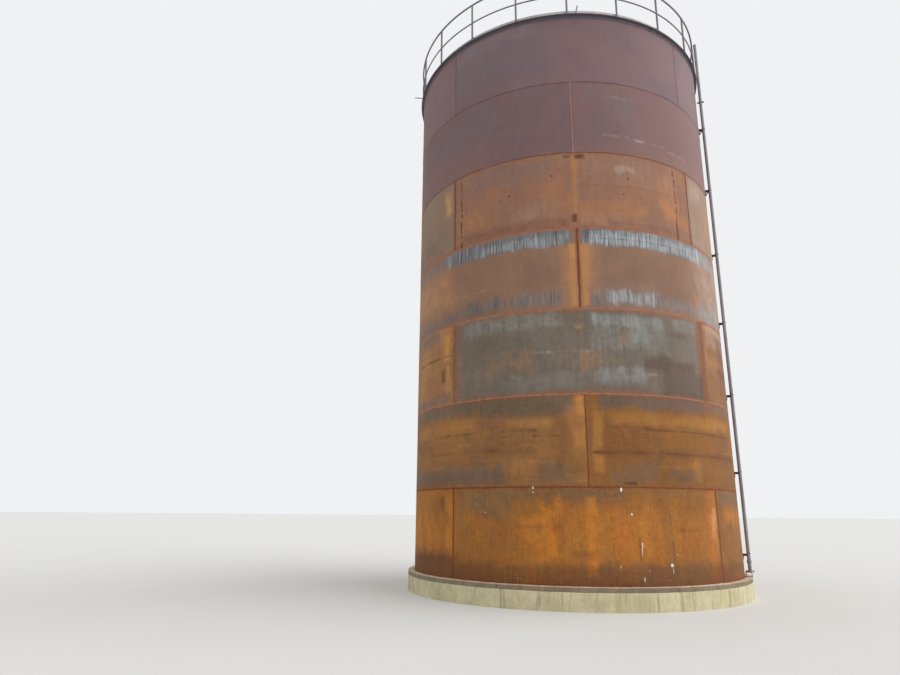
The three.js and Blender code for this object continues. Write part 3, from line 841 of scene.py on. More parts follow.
ASH_PLATE = replace(
    COPPER_PLATE, name="ash_plate", rust=(132, 110, 96), rust_two=(138, 112, 92), scale=(124, 112, 102),
    scale_two=(130, 112, 98), glow=(196, 144, 84), bloom=(160, 140, 126), stain=(108, 84, 72),
)
TAN_PLATE = PlateFinish(
    name="tan_plate", rust=(138, 107, 86), rust_two=(130, 100, 84), scale=(111, 107, 107),
    scale_two=(103, 100, 101), glow=(190, 132, 76), stain=(74, 64, 64), bloom=(164, 171, 176),
    seam=(152, 100, 82), side=(118, 58, 32), side_width=0.026, patches=0.08, runs=0.14, scale_runs=0.85,
    scale_sheen=0.6, streaked=0.8, speckle=0.15, contrast=0.6, scale_roughness=0.5,
)
SLATE_PLATE = PlateFinish(
    name="slate_plate", rust=(134, 96, 74), rust_two=(126, 92, 76), scale=(116, 103, 91),
    scale_two=(108, 98, 86), glow=(160, 116, 76), stain=(90, 72, 60), bloom=(146, 151, 149),
    seam=(152, 108, 86), side=(128, 88, 66), side_width=0.05, runs=0.3, bands=0.15, scale_runs=0.3,
    scale_sheen=0.2, streaked=0.5, contrast=1.3,
)
OCHRE_PLATE = PlateFinish(
    name="ochre_plate", rust=(163, 119, 79), rust_two=(149, 106, 71), scale=(114, 96, 92),
    scale_two=(110, 90, 82), glow=(190, 136, 72), stain=(100, 64, 44), bloom=(170, 140, 118),
    seam=(158, 106, 68), side=(134, 86, 54), side_width=0.05, patches=0.25, runs=0.15, bands=0.35,
)
UMBER_PLATE = PlateFinish(
    name="umber_plate", rust=(144, 100, 58), rust_two=(130, 92, 60), scale=(108, 90, 78),
    scale_two=(98, 84, 66), glow=(190, 132, 68), stain=(94, 60, 38), bloom=(160, 122, 88),
    seam=(136, 72, 36), side=(116, 58, 28), side_width=0.01, patches=0.35, runs=0.2, bands=0.45,
    scale_runs=0.3,
)
AMBER_PLATE = PlateFinish(
    name="amber_plate", rust=(162, 104, 46), rust_two=(144, 94, 46), scale=(120, 92, 60),
    scale_two=(110, 84, 58), glow=(190, 118, 42), stain=(100, 66, 40), bloom=(206, 150, 110),
    seam=(130, 70, 32), side=(108, 56, 26), side_width=0.022, patches=0.42, runs=0.5, bands=0.15,
    scale_runs=0.35, speckle=0.8, contrast=1.4,
)

CONCRETE = ConcreteFinish("cast_concrete", (182, 174, 138), (204, 196, 160), (138, 118, 86), (172, 162, 98))
BED = SteelFinish("dark_bed", (134, 122, 100), (134, 117, 95), (92, 80, 64), 0.5, 60.0, 0.9)
LEDGE_STEEL = SteelFinish("ledge_steel", (204, 182, 156), (180, 146, 116), (140, 118, 98), 0.3, 80.0, 0.85)
RIM_STEEL = SteelFinish("rim_steel", (92, 88, 98), (98, 86, 90), (66, 64, 72), 0.25)
# Pale grey for the curb's upstand and the rain spouts. On the upstand it is a painted highlight: the sky-lit
# upper edge of the curb.
PALE_STEEL_AND_HIGHLIGHT = SteelFinish("pale_steel_and_painted_highlight", (176, 176, 172), (158, 144, 134), (132, 126, 122), 0.2)
RAIL_STEEL = SteelFinish("rail_steel", (118, 110, 126), (122, 106, 112), (88, 80, 92), 0.2)
PIPE_STEEL = SteelFinish("pipe_steel", (142, 136, 140), (146, 126, 120), (106, 100, 104), 0.2)
CLAMP_STEEL = SteelFinish("clamp_steel", (46, 38, 42), (60, 46, 44), (30, 27, 30), 0.4)
FITTING_STEEL = SteelFinish("fitting_steel", (128, 112, 98), (148, 98, 62), (84, 62, 50), 0.6)
ROOF_STEEL = SteelFinish("roof_steel", (124, 100, 92), (140, 96, 70), (94, 68, 56), 0.5, 60.0, 0.8, 1.6)
BOLT_STEEL = SteelFinish("bolt_steel", (112, 98, 86), (130, 84, 56), (70, 54, 46), 0.5)
MORTAR = SteelFinish("mortar", (224, 218, 206), (206, 196, 180), (176, 164, 146), 0.3, 80.0, 0.95)
SCAR = SteelFinish("weld_scar", (98, 58, 42), (120, 70, 46), (72, 44, 36), 0.4, 80.0, 0.9)
DARK_BEAD = BeadFinish("dark_bead", (124, 72, 48), (92, 54, 40))
ORANGE_BEAD = BeadFinish("orange_bead", (182, 118, 82), (140, 92, 70))
RUST_BEAD = BeadFinish("rust_bead", (146, 92, 62), (110, 70, 50))
MAUVE_BEAD = BeadFinish("mauve_bead", (120, 86, 84), (96, 70, 72))
PALE_BEAD = BeadFinish("pale_bead", (180, 148, 138), (144, 114, 108))


# The tank's shared sizes


@dataclass(frozen=True)
class TankSize:
    """Sizes that many pieces share, from the frame's boxes.

    radius is the shell's outer radius, plate its thickness, foot and rim its lower and upper edge, and
    course the height of one of its courses.
    """

    radius: float
    foot: float
    rim: float
    course: float
    plate: float = 0.008
    plates: int = 4

    @classmethod
    def from_frame(cls) -> "TankSize":
        """Reads the shell's first and last courses."""
        low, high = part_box("course_1_plate_1")
        return cls(-low.y, low.z, rim=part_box("course_7_plate_1")[1].z, course=high.z - low.z)

    def course_foot(self, course: int) -> float:
        """Height of a course's lower edge. Courses count from 1."""
        return self.foot + (course - 1) * self.course

    def plate_bearing(self, course: int, number: int) -> float:
        """Bearing of a plate's middle: every second course is turned by half a plate."""
        stagger = 0.5 if course % 2 == 0 else 0.0
        return (number - 1 + stagger) * 360 / self.plates


SIZE = TankSize.from_frame()


def placed(name: str, data: object) -> Object:
    """A new object in the scene, from its mesh, camera or light.

    Args:
        name: the object's name.
        data: what it shows.

    Returns:
        The object.
    """
    item = bpy.data.objects.new(name, data)
    bpy.context.scene.collection.objects.link(item)
    return item


class Piece:
    """Puts finished surfaces into the scene, on the tank's one body."""

    materials: dict[str, Material] = {}

    @classmethod
    def object_from(cls, name: str, surface: Surface, finish: Finish) -> Object:
        """A mesh object at the origin from a surface, smooth but for its sharp edges.

        Args:
            name: the object's name.
            surface: its skins.
            finish: what it is covered with.

        Returns:
            The object, in the scene.
        """
        if finish.name not in cls.materials:
            cls.materials[finish.name] = finish.material()
        mesh = bpy.data.meshes.new(name)
        mesh.from_pydata(surface.points, [], np.split(surface.corners, np.cumsum(surface.sizes)[:-1]))
        mesh.uv_layers.new(name=UV_NAME).uv.foreach_set("vector", surface.uv.astype(np.float32).ravel())
        for key, values in surface.masks.items():
            attribute = mesh.attributes.new(key, "FLOAT", "POINT")
            attribute.data.foreach_set("value", values.astype(np.float32))
        mesh.validate()
        mesh.shade_smooth()
        mesh.set_sharp_from_angle(angle=SHARP_ANGLE)
        mesh.materials.append(cls.materials[finish.name])
        return placed(name, mesh)

    @staticmethod
    def bore(piece: Object, cutter: Object) -> None:
        """Cuts one object out of a piece for good, and removes it.

        Args:
            piece: what is cut.
            cutter: what is cut out of it.
        """
        cut = piece.modifiers.new("bore", "BOOLEAN")
        cut.operation = "DIFFERENCE"
        cut.solver = "EXACT"
        cut.object = cutter
        shape = piece.evaluated_get(bpy.context.evaluated_depsgraph_get())
        mesh = bpy.data.meshes.new_from_object(shape)
        piece.modifiers.remove(cut)
        piece.data = mesh
        bpy.data.objects.remove(cutter)

    @classmethod
    def add(
        cls, name: str, surfaces: Sequence[Surface], finish: Finish, slot: str,
        stands_for: Sequence[str] = (), bevel: float = 0.0, hole: Surface | None = None,
    ) -> None:
        """Adds a piece of the tank.

        Args:
            name: the piece's name.
            surfaces: its skins.
            finish: what it is covered with.
            slot: the record's material slot; not used.
            stands_for: the frame's nodes that it is shown instead of.
            bevel: width of a small round on its edges, or 0 for none.
            hole: a closed skin that is cut out of it.
        """
        piece = cls.object_from(name, joined(surfaces), finish)
        if hole is not None:
            cls.bore(piece, cls.object_from("cutter", hole, finish))
        if bevel:
            edges = piece.modifiers.new("edges", "BEVEL")
            edges.width = bevel
            edges.segments = 2
            edges.limit_method = "ANGLE"
            edges.angle_limit = SHARP_ANGLE
        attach(piece, BODY)
        if stands_for:
            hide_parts(*stands_for)
        log.info("%s: %d faces", name, len(piece.data.polygons))


# Wall


@dataclass(frozen=True)
class Look:
    """A plate's finish, and for each mask the marked areas that it is made of.

    A mark is an oblong with round corners and a soft, wandering edge, in centimetres and percent: left and
    right from the plate's middle, low and high from its foot, strength, half the edge's width, and how far
    the edge wanders.
    """

    finish: PlateFinish
    marks: dict[Mask, tuple[tuple[float, ...], ...]]

    def mirrored(self) -> "Look":
        """The same look turned left to right, for a plate on the hidden side.

        Returns:
            The turned look.
        """
        marks = {
            mask: tuple((-right, -left, *rest) for left, right, *rest in rows)
            for mask, rows in self.marks.items()
        }
        return Look(self.finish, marks)

    def cover(self, mask: Mask, across: Array, up: Array, seed: float) -> Array:
        """How far a mask covers each place: 1 less the product of what each of its marks leaves bare.

        A mark covers its strength times a fall from 1 to 0 over its edge, by the distance to the oblong
        plus noise.

        Args:
            mask: which mask.
            across: places along the plate, in metres.
            up: their heights over its foot.
            seed: which noise.

        Returns:
            A share for each place.
        """
        bare = np.ones_like(across)
        for index, mark in enumerate(self.marks.get(mask, ())):
            left, right, low, high, strength, soft, ragged = np.array(mark) / 100
            wander = (cloud(across * 5, up * 2.5, seed + index) - 0.5) * 4 * ragged
            beside, beyond = np.maximum(left - across, across - right), np.maximum(low - up, up - high)
            outside = np.hypot(np.maximum(beside, 0), np.maximum(beyond, 0))
            distance = outside + np.minimum(np.maximum(beside, beyond), 0) + wander
            bare = bare * (1 - strength * (1 - soft_step(-soft, soft, distance)))
        return 1 - bare


# Half a plate's length along the outside of the shell, in metres and centimetres, and more than that
HALF = math.pi * SIZE.radius / SIZE.plates
END = 100 * HALF
ALL = END + 20
SCALE, GLOW, STAIN, BLOOM = Mask.SCALE, Mask.GLOW, Mask.STAIN, Mask.BLOOM

AMBER_FRONT = Look(AMBER_PLATE, {
    SCALE: ((-20, 250, -10, 40, 35, 10, 5), (-275, -150, 130, 200, 75, 18, 10),
            (-160, 70, 152, 200, 70, 12, 8), (70, 290, 166, 200, 50, 12, 8),
            (142, 158, 50, 130, 35, 12, 6)),
    GLOW: ((-140, -105, 70, 125, 70, 12, 10), (-95, -55, 50, 150, 90, 12, 10),
           (-50, 135, 50, 140, 50, 20, 12), (-5, 10, 20, 160, 90, 6, 4), (170, 260, 50, 130, 30, 20, 10),
           (262, 288, 10, 170, 32, 10, 5)),
    STAIN: ((-ALL, ALL, -20, 36, 65, 14, 4), (-ALL, ALL, -20, 12, 35, 10, 3),
            (92, 93.5, 45, 88, 80, 1.2, 0.4), (164.5, 166, 40, 80, 70, 1.2, 0.4),
            (-140, -60, 102, 110, 35, 5, 5), (-40, 10, 50, 62, 40, 6, 5), (185, 230, 98, 104, 40, 5, 5),
            (130, 255, 40, 170, 15, 20, 10), (130, 270, 135, 200, 20, 15, 6)),
    BLOOM: ((276, 287, 92, 128, 40, 6, 5), (283, 291, 120, 142, 60, 4, 3), (284, 292, 50, 90, 20, 5, 4)),
})
AMBER_SIDE = Look(AMBER_PLATE, {
    SCALE: ((-220, 40, 90, 170, 50, 25, 15),),
    GLOW: ((276, 295, 40, 160, 70, 10, 6), (180, 260, 50, 120, 50, 20, 10),
           (-20, 160, 50, 130, 60, 25, 15)),
    STAIN: ((-ALL, ALL, -20, 45, 80, 12, 8), (245, 270, 140, 168, 70, 10, 6)),
})
PALE_AMBER = replace(AMBER_PLATE, name="amber_plate_pale", rust=(142, 96, 51), rust_two=(132, 89, 49))
AMBER_RIGHT = Look(PALE_AMBER, {
    SCALE: ((-290, -80, 148, 178, 80, 10, 5),),
    GLOW: ((-270, -30, 110, 145, 50, 15, 8),),
    STAIN: ((-ALL, ALL, -20, 34, 60, 12, 6), (-290, -120, 140, 180, 25, 12, 5),
            (-260, -230, 95, 115, 50, 10, 5), (-190, 20, 50, 62, 50, 8, 5), (60, 220, 80, 160, 40, 30, 15)),
})
UMBER_LEFT = Look(UMBER_PLATE, {
    SCALE: ((-140, 275, 150, 200, 85, 10, 7), (90, 270, 138, 160, 70, 8, 7),
            (-END, -140, 158, 200, 70, 10, 7), (-END, 130, 8, 40, 85, 14, 6), (210, 270, 8, 40, 50, 18, 6)),
    GLOW: ((-190, 60, 117, 138, 42, 14, 4), (140, 250, 120, 132, 40, 8, 5), (282, 297, 140, 178, 80, 5, 4),
           (272, 294, 78, 110, 65, 6, 5), (262, 297, 40, 160, 30, 10, 8), (150, 195, 28, 60, 30, 16, 6)),
    STAIN: ((-END, 120, 0, 20, 30, 15, 5), (-70, 200, 110, 111.5, 60, 2, 2), (60, 270, 98, 99.5, 50, 2, 3),
            (-140, 120, 72, 74, 35, 3, 3), (120, 220, 86, 90, 35, 4, 4), (90, 200, 62, 78, 30, 12, 6),
            (245, 285, 35, 120, 30, 20, 12)),
})
DARK_UMBER = replace(
    UMBER_PLATE, name="umber_plate_dark", rust=(136, 90, 45), rust_two=(124, 83, 46), scale=(104, 86, 76),
    scale_two=(95, 80, 64), glow=(172, 119, 60),
)
UMBER_RIGHT = Look(DARK_UMBER, {
    SCALE: ((-275, -20, 152, 200, 90, 10, 4), (-20, END, 160, 200, 60, 10, 6),
            (-294, -288, 30, 170, 30, 4, 5), (-260, -160, 8, 40, 45, 16, 8),
            (-130, -50, 15, 30, 50, 10, 6)),
    GLOW: ((-286, -268, 30, 150, 80, 5, 3.5), (-245, 40, 122, 144, 50, 10, 3),
           (-70, 120, 125, 148, 55, 10, 4), (-60, -40, 10, 60, 50, 8, 6)),
    STAIN: ((-287, 160, 64.5, 67.5, 85, 3, 1.6), (-280, 160, 58, 74, 30, 8, 3),
            (-180, 130, 110, 113, 70, 2, 1.2), (-260, -160, 114, 118, 50, 4, 2),
            (-230, -205, 4, 10, 100, 2, 0.8), (-160, -20, 0, 30, 30, 15, 6),
            (-150, -20, 140, 200, 25, 15, 6)),
})
SLATE_FRONT = Look(SLATE_PLATE, {
    SCALE: ((-278, 280, 10, 172, 97, 8, 3), (-295, 286, 5, 178, 30, 6, 3)),
    GLOW: ((80, 96, 112, 130, 60, 8, 2), (190, 275, 20, 80, 20, 20, 10), (-210, -105, 50, 92, 32, 14, 8),
           (-5, 7, 45, 88, 60, 9, 4), (12, 35, 55, 85, 30, 8, 5), (-16, -2, 135, 143, 90, 3, 1.5),
           (-1.5, 1, 90, 172, 70, 2, 1)),
    STAIN: ((170, 295, 10, 160, 20, 30, 10), (-280, 280, -10, 40, 16, 15, 5), (170, 295, 0, 60, 75, 15, 5),
            (78, 98, 110, 132, 40, 7, 2), (185, 245, 128, 140, 45, 5, 3), (130, 265, 54, 82, 85, 8, 5),
            (-270, -190, 60, 140, 25, 15, 8)),
    BLOOM: ((-270, -40, 142, 170, 30, 10, 6), (20, 185, 142, 168, 60, 6, 5), (25, 190, 92, 145, 24, 10, 6),
            (105, 145, 110, 150, 50, 10, 5), (205, 280, 145, 170, 30, 6, 4), (185, 275, 85, 140, 6, 12, 6),
            (15, 130, 22, 50, 55, 10, 8), (70, 137, 50, 56, 50, 4, 3), (-170, -5, 16, 38, 32, 10, 8),
            (-105, 15, 88, 90, 80, 1.5, 0.8), (135, 265, 44, 45.5, 90, 1.5, 0.8)),
})
OCHRE_LEFT = Look(OCHRE_PLATE, {
    SCALE: ((-END, 245, 150, 200, 75, 10, 6), (-END, 290, 0, 26, 70, 10, 6)),
    GLOW: ((260, 285, 100, 160, 80, 8, 5), (270, 288, 30, 90, 60, 6, 5)),
    STAIN: ((120, 290, 110, 112.5, 100, 2, 1.2), (250, 266, 56, 82, 70, 7, 4)),
})
PINK_OCHRE = replace(OCHRE_PLATE, name="ochre_plate_pink", rust=(140, 103, 82), rust_two=(132, 93, 71))
OCHRE_RIGHT = Look(PINK_OCHRE, {
    SCALE: ((-220, END, 150, 170, 60, 10, 6),),
    GLOW: ((-292, -210, 10, 120, 30, 16, 6),),
    STAIN: ((-END, -288, 0, 180, 70, 6, 3), (-220, 120, 70, 84, 45, 8, 5), (-290, -150, 0, 85, 35, 15, 6),
            (-280, -140, 100, 130, 30, 12, 6)),
    BLOOM: ((-290, -100, 164, 178, 100, 6, 3), (-280, -220, 125, 170, 60, 12, 5)),
})
TAN_LEFT = Look(TAN_PLATE, {
    SCALE: ((-30, 284, 140, 175, 100, 2.5, 2), (-120, -30, 142, 172, 45, 5, 4),
            (-END, -120, 142, 172, 30, 10, 5), (45, 270, 12, 34, 75, 14, 5), (-200, 45, 10, 30, 35, 10, 5)),
    GLOW: ((281, 295, 4, 144, 85, 4, 2), (262, 295, 4, 140, 35, 14, 5), (-20, 130, 60, 62, 50, 1.2, 0.8),
           (-END, -10, 40, 140, 50, 30, 10)),
    STAIN: ((-40, 120, 0, 35, 25, 12, 5),),
    BLOOM: ((80, 270, 142, 162, 60, 5, 5), (-END, -30, 40, 150, 8, 30, 10)),
})
TAN_RIGHT = Look(TAN_PLATE, {
    SCALE: ((-292, 30, 140, 177, 100, 2.5, 2), (30, END, 142, 172, 45, 6, 3),
            (-275, -130, 10, 38, 55, 10, 6), (-130, 90, 8, 33, 40, 10, 6)),
    GLOW: ((-295, -278, 4, 144, 70, 5, 2), (-295, -260, 30, 140, 35, 14, 5), (0, END, 35, 140, 40, 30, 10)),
    STAIN: ((-280, 20, 154.5, 155.5, 80, 1.2, 0.6), (-285, -90, 163, 176, 30, 6, 5)),
    BLOOM: ((-275, -115, 142, 174, 95, 5, 5), (-115, 40, 142, 172, 60, 6, 5),
            (10, END, 140, 175, 35, 15, 6), (-240, -135, 12, 36, 70, 8, 8),
            (-270, -120, 10, 55, 12, 12, 12), (-120, 10, 10, 35, 15, 12, 8), (20, 235, 0, 45, 50, 25, 14),
            (15, 230, 30, 150, 48, 45, 20)),
})
COPPER_FRONT = Look(COPPER_PLATE, {
    SCALE: ((-260, -50, 120, 175, 60, 15, 8),),
    GLOW: ((-6, 7, 25, 172, 70, 5, 3), (10, 60, 15, 55, 35, 12, 6), (60, 170, 32, 60, 35, 12, 6),
           (210, 250, 36, 85, 80, 16, 10), (250, 290, 30, 70, 45, 10, 5), (190, 250, 100, 150, 30, 15, 7),
           (-268, -210, 35, 80, 35, 15, 8), (-110, -20, 60, 130, 20, 20, 10)),
    STAIN: ((-270, -15, 2, 24, 35, 9, 5), (70, 260, 6, 20, 38, 9, 5), (-24, -6, 166, 175, 100, 3, 3),
            (-7, 0, 14, 30, 100, 3, 3), (10, 290, 100, 101.5, 40, 2, 1), (2, 20, 167, 175, 100, 3, 5)),
    BLOOM: ((86, 140, 138, 154, 90, 6, 8), (10, 240, 105, 170, 15, 25, 10), (10, 270, 2, 30, 15, 12, 6),
            (-140, -40, 10, 60, 20, 15, 8)),
})
ASH_LEFT = Look(ASH_PLATE, {
    SCALE: ((120, 280, 120, 176, 50, 20, 10),),
    GLOW: ((262, 282, 98, 146, 90, 16, 10),),
    STAIN: ((-40, 240, 10, 50, 30, 20, 10),),
})
PINK_ASH = replace(ASH_PLATE, name="ash_plate_pink", rust=(150, 126, 112), rust_two=(146, 118, 100))
ASH_RIGHT = Look(PINK_ASH, {
    GLOW: ((-220, -60, 30, 130, 25, 30, 15),),
    BLOOM: ((-290, -230, 125, 165, 70, 12, 6), (-300, -220, 0, 60, 30, 20, 8)),
})
PLUM_LEFT = Look(PLUM_PLATE, {
    SCALE: ((-50, 250, 60, 180, 50, 30, 15),),
    GLOW: ((-ALL, ALL, -10, 1.5, 100, 2, 2), (-220, 100, -10, 70, 20, 30, 10)),
})
WARM_PLUM = replace(PLUM_PLATE, name="plum_plate_warm", rust=(121, 92, 91), rust_two=(123, 93, 90))
PLUM_RIGHT = Look(WARM_PLUM, {
    SCALE: ((-280, -140, 30, 160, 50, 30, 12),),
    GLOW: ((-ALL, ALL, -10, 1.5, 100, 2, 2), (-130, -50, 15, 17, 40, 3, 2),
           (-160, 220, -10, 35, 20, 20, 10)),
    BLOOM: ((-230, -170, 44, 46, 50, 2.5, 1.2), (-165, -70, 40, 41.5, 75, 2, 2),
            (-70, 20, 34, 35, 40, 2, 2), (-220, -170, 142, 146, 20, 4, 2)),
})
MAUVE_FRONT = Look(MAUVE_PLATE, {
    SCALE: ((-290, -60, 40, 180, 60, 40, 15),),
    GLOW: ((-20, 120, 20, 120, 20, 30, 15),),
    STAIN: ((-10, 140, 40, 160, 12, 30, 10),),
    # The pale bloom at the upper left is painted light: it brightens the top of the wall where the rim above
    # shades it.
    BLOOM: ((-290, -80, 140, 190, 15, 20, 8),),
})
MAUVE_SIDE = Look(MAUVE_PLATE, {
    SCALE: ((20, 280, 40, 160, 50, 40, 15),),
    BLOOM: ((-290, -190, 40, 160, 6, 30, 10),),
})

# Looks of each course's four plates, from the lowest bearing on. The hidden side takes them mirrored.
COURSE_LOOKS: dict[int, tuple[Look, ...]] = {
    1: (AMBER_FRONT, AMBER_RIGHT, AMBER_FRONT.mirrored(), AMBER_SIDE),
    2: (UMBER_RIGHT, UMBER_LEFT.mirrored(), UMBER_RIGHT.mirrored(), UMBER_LEFT),
    3: (SLATE_FRONT, OCHRE_RIGHT, SLATE_FRONT.mirrored(), OCHRE_LEFT),
    4: (TAN_RIGHT, TAN_LEFT.mirrored(), TAN_RIGHT.mirrored(), TAN_LEFT),
    5: (COPPER_FRONT, ASH_RIGHT, COPPER_FRONT.mirrored(), ASH_LEFT),
    6: (PLUM_RIGHT, PLUM_LEFT.mirrored(), PLUM_RIGHT.mirrored(), PLUM_LEFT),
    7: (MAUVE_FRONT, MAUVE_SIDE, MAUVE_FRONT.mirrored(), MAUVE_SIDE.mirrored()),
}


@dataclass(frozen=True)
class RolledPlate:
    """One rolled plate of the shell, with faint hollows in it and its look in vertex values.

    columns and rows count the steps of its outer face along and up.
    """

    course: int
    number: int
    look: Look
    columns: int
    rows: int
    hollow: float = 0.003
    edge_calm: float = 0.15

    def build(self) -> Surface:
        """Grid of columns by rows: radius + hollows on the outer face, and one flat strip inside.

        A section runs up the outer face and down the inner one, and is carried along the bearings.

        Returns:
            The closed skin with its masks.
        """
        size, seed = SIZE, self.course * 17.0 + self.number * 5.0
        across = np.linspace(-HALF, HALF, self.columns + 1)[:, None]
        across, up = np.broadcast_arrays(across, np.linspace(0, size.course, self.rows + 1))
        edge = np.minimum(HALF - np.abs(across), np.minimum(up, size.course - up))
        waves = cloud(across * 0.7, up * 0.9, seed, 3) - 0.5
        radius = size.radius + 2 * self.hollow * waves * soft_step(0, self.edge_calm, edge)
        bearing = size.plate_bearing(self.course, self.number) + np.degrees(across / size.radius)
        foot = size.course_foot(self.course)
        outer = place(radius, bearing, foot + up)
        inner = place(size.radius - size.plate, bearing[:, :1], foot + np.array([[size.course, 0.0]]))
        heights = np.concatenate([up[0], [size.course + size.plate, 2 * size.course, 2 * size.course]])
        surface = skin(np.concatenate([outer, inner], 1), along=across[:, 0], across=heights)
        for mask in (SCALE, GLOW, STAIN, BLOOM):
            cover = self.look.cover(mask, across, up, seed)
            surface.masks[mask.value] = np.pad(cover, ((0, 0), (0, 2))).ravel()
        surface.masks[Mask.SHIFT.value] = np.full(len(surface.points), seed * 0.137 % 1.0)
        return surface


@dataclass(frozen=True)
class Wall:
    """The shell: its plates, its weld beads, and what was left on it."""

    bead_width: float = 0.016
    bead_rise: float = 0.0035
    fillet_width: float = 0.018
    fillet_rise: float = 0.008
    upright_steps: int = 70
    fine_within: float = 100.0
    fine_steps: tuple[int, int] = (200, 66)
    coarse_steps: tuple[int, int] = (120, 40)
    scarred_from: float = 0.07
    scarred_to: float = 1.68
    scar_rise: float = 0.004
    splash_rise: float = 0.003
    specks: int = 26

    def add_plates(self) -> None:
        """Adds the 28 plates, with a finer grid on those that face the viewer."""
        for course, looks in COURSE_LOOKS.items():
            for number, look in enumerate(looks, 1):
                bearing = (SIZE.plate_bearing(course, number) + 180) % 360 - 180
                steps = self.fine_steps if abs(bearing) <= self.fine_within else self.coarse_steps
                plate = RolledPlate(course, number, look, *steps).build()
                hole = Manway().bore() if course == 1 and abs(bearing) == 180 else None
                name, slot = f"course_{course}_plate_{number}", f"course_{course}_rust"
                Piece.add(name + "_rolled", [plate], look.finish, slot, [name], hole=hole)

    def add_beads(self) -> None:
        """Adds the level beads between courses, the upright ones between plates, and the one at the foot."""
        level_finish = [DARK_BEAD, ORANGE_BEAD, ORANGE_BEAD, ORANGE_BEAD, DARK_BEAD, MAUVE_BEAD]
        upright_finish = [DARK_BEAD, DARK_BEAD, RUST_BEAD, DARK_BEAD, DARK_BEAD, PALE_BEAD, MAUVE_BEAD]
        size = (self.bead_width, self.bead_rise)
        for course, finish in enumerate(level_finish, 1):
            seam = level_bead(SIZE.radius, SIZE.course_foot(course + 1), *size, course)
            Piece.add(f"weld_over_course_{course}", [seam], finish, f"course_{course}_rust")
        for course, finish in enumerate(upright_finish, 1):
            heights = SIZE.course_foot(course) + np.linspace(0, SIZE.course, self.upright_steps)
            beads = []
            for number in range(1, SIZE.plates + 1):
                bearing = SIZE.plate_bearing(course, number) + 180 / SIZE.plates
                out = place(1.0, bearing + 0 * heights, 0.0)
                beads.append(bead(place(SIZE.radius, bearing, heights), out, *size, bearing + course))
            Piece.add(f"upright_welds_course_{course}", beads, finish, f"course_{course}_rust")
        size = (self.fillet_width, self.fillet_rise)
        foot = level_bead(SIZE.radius + 0.003, SIZE.foot + 0.004, *size, 31.0)
        Piece.add("weld_at_foot", [foot], DARK_BEAD, "foot_steel")

    @staticmethod
    def lump(arc: float, height: float, wide: float, tall: float, rise: float, seed: float) -> Surface:
        """Low uneven lump on the wall, by where it is, half its width and height, and its rise.

        Args:
            arc: distance along the wall from bearing 0.
            height: height of its middle.
            wide: half its width.
            tall: half its height.
            rise: how far it stands out.
            seed: which noise.

        Returns:
            The closed skin.
        """
        across, up, share = uneven_oval(wide, tall, seed)
        radius = SIZE.radius - SUNK + rise * share
        return skin(place(radius, np.degrees((arc + across) / SIZE.radius), height + up))

    def add_scars(self) -> None:
        """Adds the scars of tack welds on course 5: two broken upright rows and some single spots."""
        rng = np.random.default_rng(5)
        foot = SIZE.course_foot(5)
        lumps = []
        for arc, thick_to in ((-2.76, 0.68), (2.5, 0.42)):
            height = self.scarred_from
            while height < self.scarred_to:
                thick = height < thick_to
                length = rng.uniform(0.08, 0.24) if thick else rng.uniform(0.06, 0.2)
                width = rng.uniform(0.03, 0.052) if thick else rng.uniform(0.014, 0.03)
                side = arc + rng.uniform(-0.014, 0.014)
                lumps.append(self.lump(side, foot + height, width, 0.6 * length, self.scar_rise, height * 9))
                height += length + (0.0 if thick else rng.uniform(-0.04, 0.06))
        spots = ((-1.46, 0.93), (-1.68, 0.85), (-0.49, 1.26), (1.08, 0.83), (1.2, 1.21), (-1.0, 0.2))
        for arc, up in spots:
            width = rng.uniform(0.02, 0.034)
            lumps.append(self.lump(arc, foot + up, width, width, 0.005, up * 31))
        Piece.add("tack_scars", lumps, SCAR, "course_5_rust")

    def add_splashes(self) -> None:
        """Adds splashes of mortar low on the wall."""
        rng = np.random.default_rng(11)
        splashes = [
            (-1.08, 1.79, 0.024, 0.036), (-1.075, 1.7, 0.014, 0.02), (0.62, 1.76, 0.03, 0.055),
            (0.8, 1.3, 0.026, 0.034), (0.975, 0.74, 0.016, 0.06), (0.965, 0.66, 0.01, 0.05),
            (0.96, 0.6, 0.008, 0.05), (0.53, 0.35, 0.008, 0.05), (1.58, 0.37, 0.036, 0.034),
            (1.6, 0.27, 0.007, 0.05), (1.73, 0.56, 0.014, 0.012), (-2.12, 1.32, 0.03, 0.012),
            (0.98, 0.12, 0.012, 0.05),
        ]
        lumps = [
            self.lump(arc, SIZE.foot + up, wide, tall, self.splash_rise, rng.uniform(0, 50))
            for arc, up, wide, tall in splashes
        ]
        for _ in range(self.specks):
            size = rng.uniform(0.003, 0.008)
            spot = (rng.uniform(-2.6, 2.8), SIZE.foot + rng.uniform(0.05, 1.6))
            lumps.append(self.lump(*spot, size, size * rng.uniform(0.8, 1.8), 0.0015, rng.uniform(0, 50)))
        Piece.add("mortar_splashes", lumps, MORTAR, "course_1_rust")


# Foundation


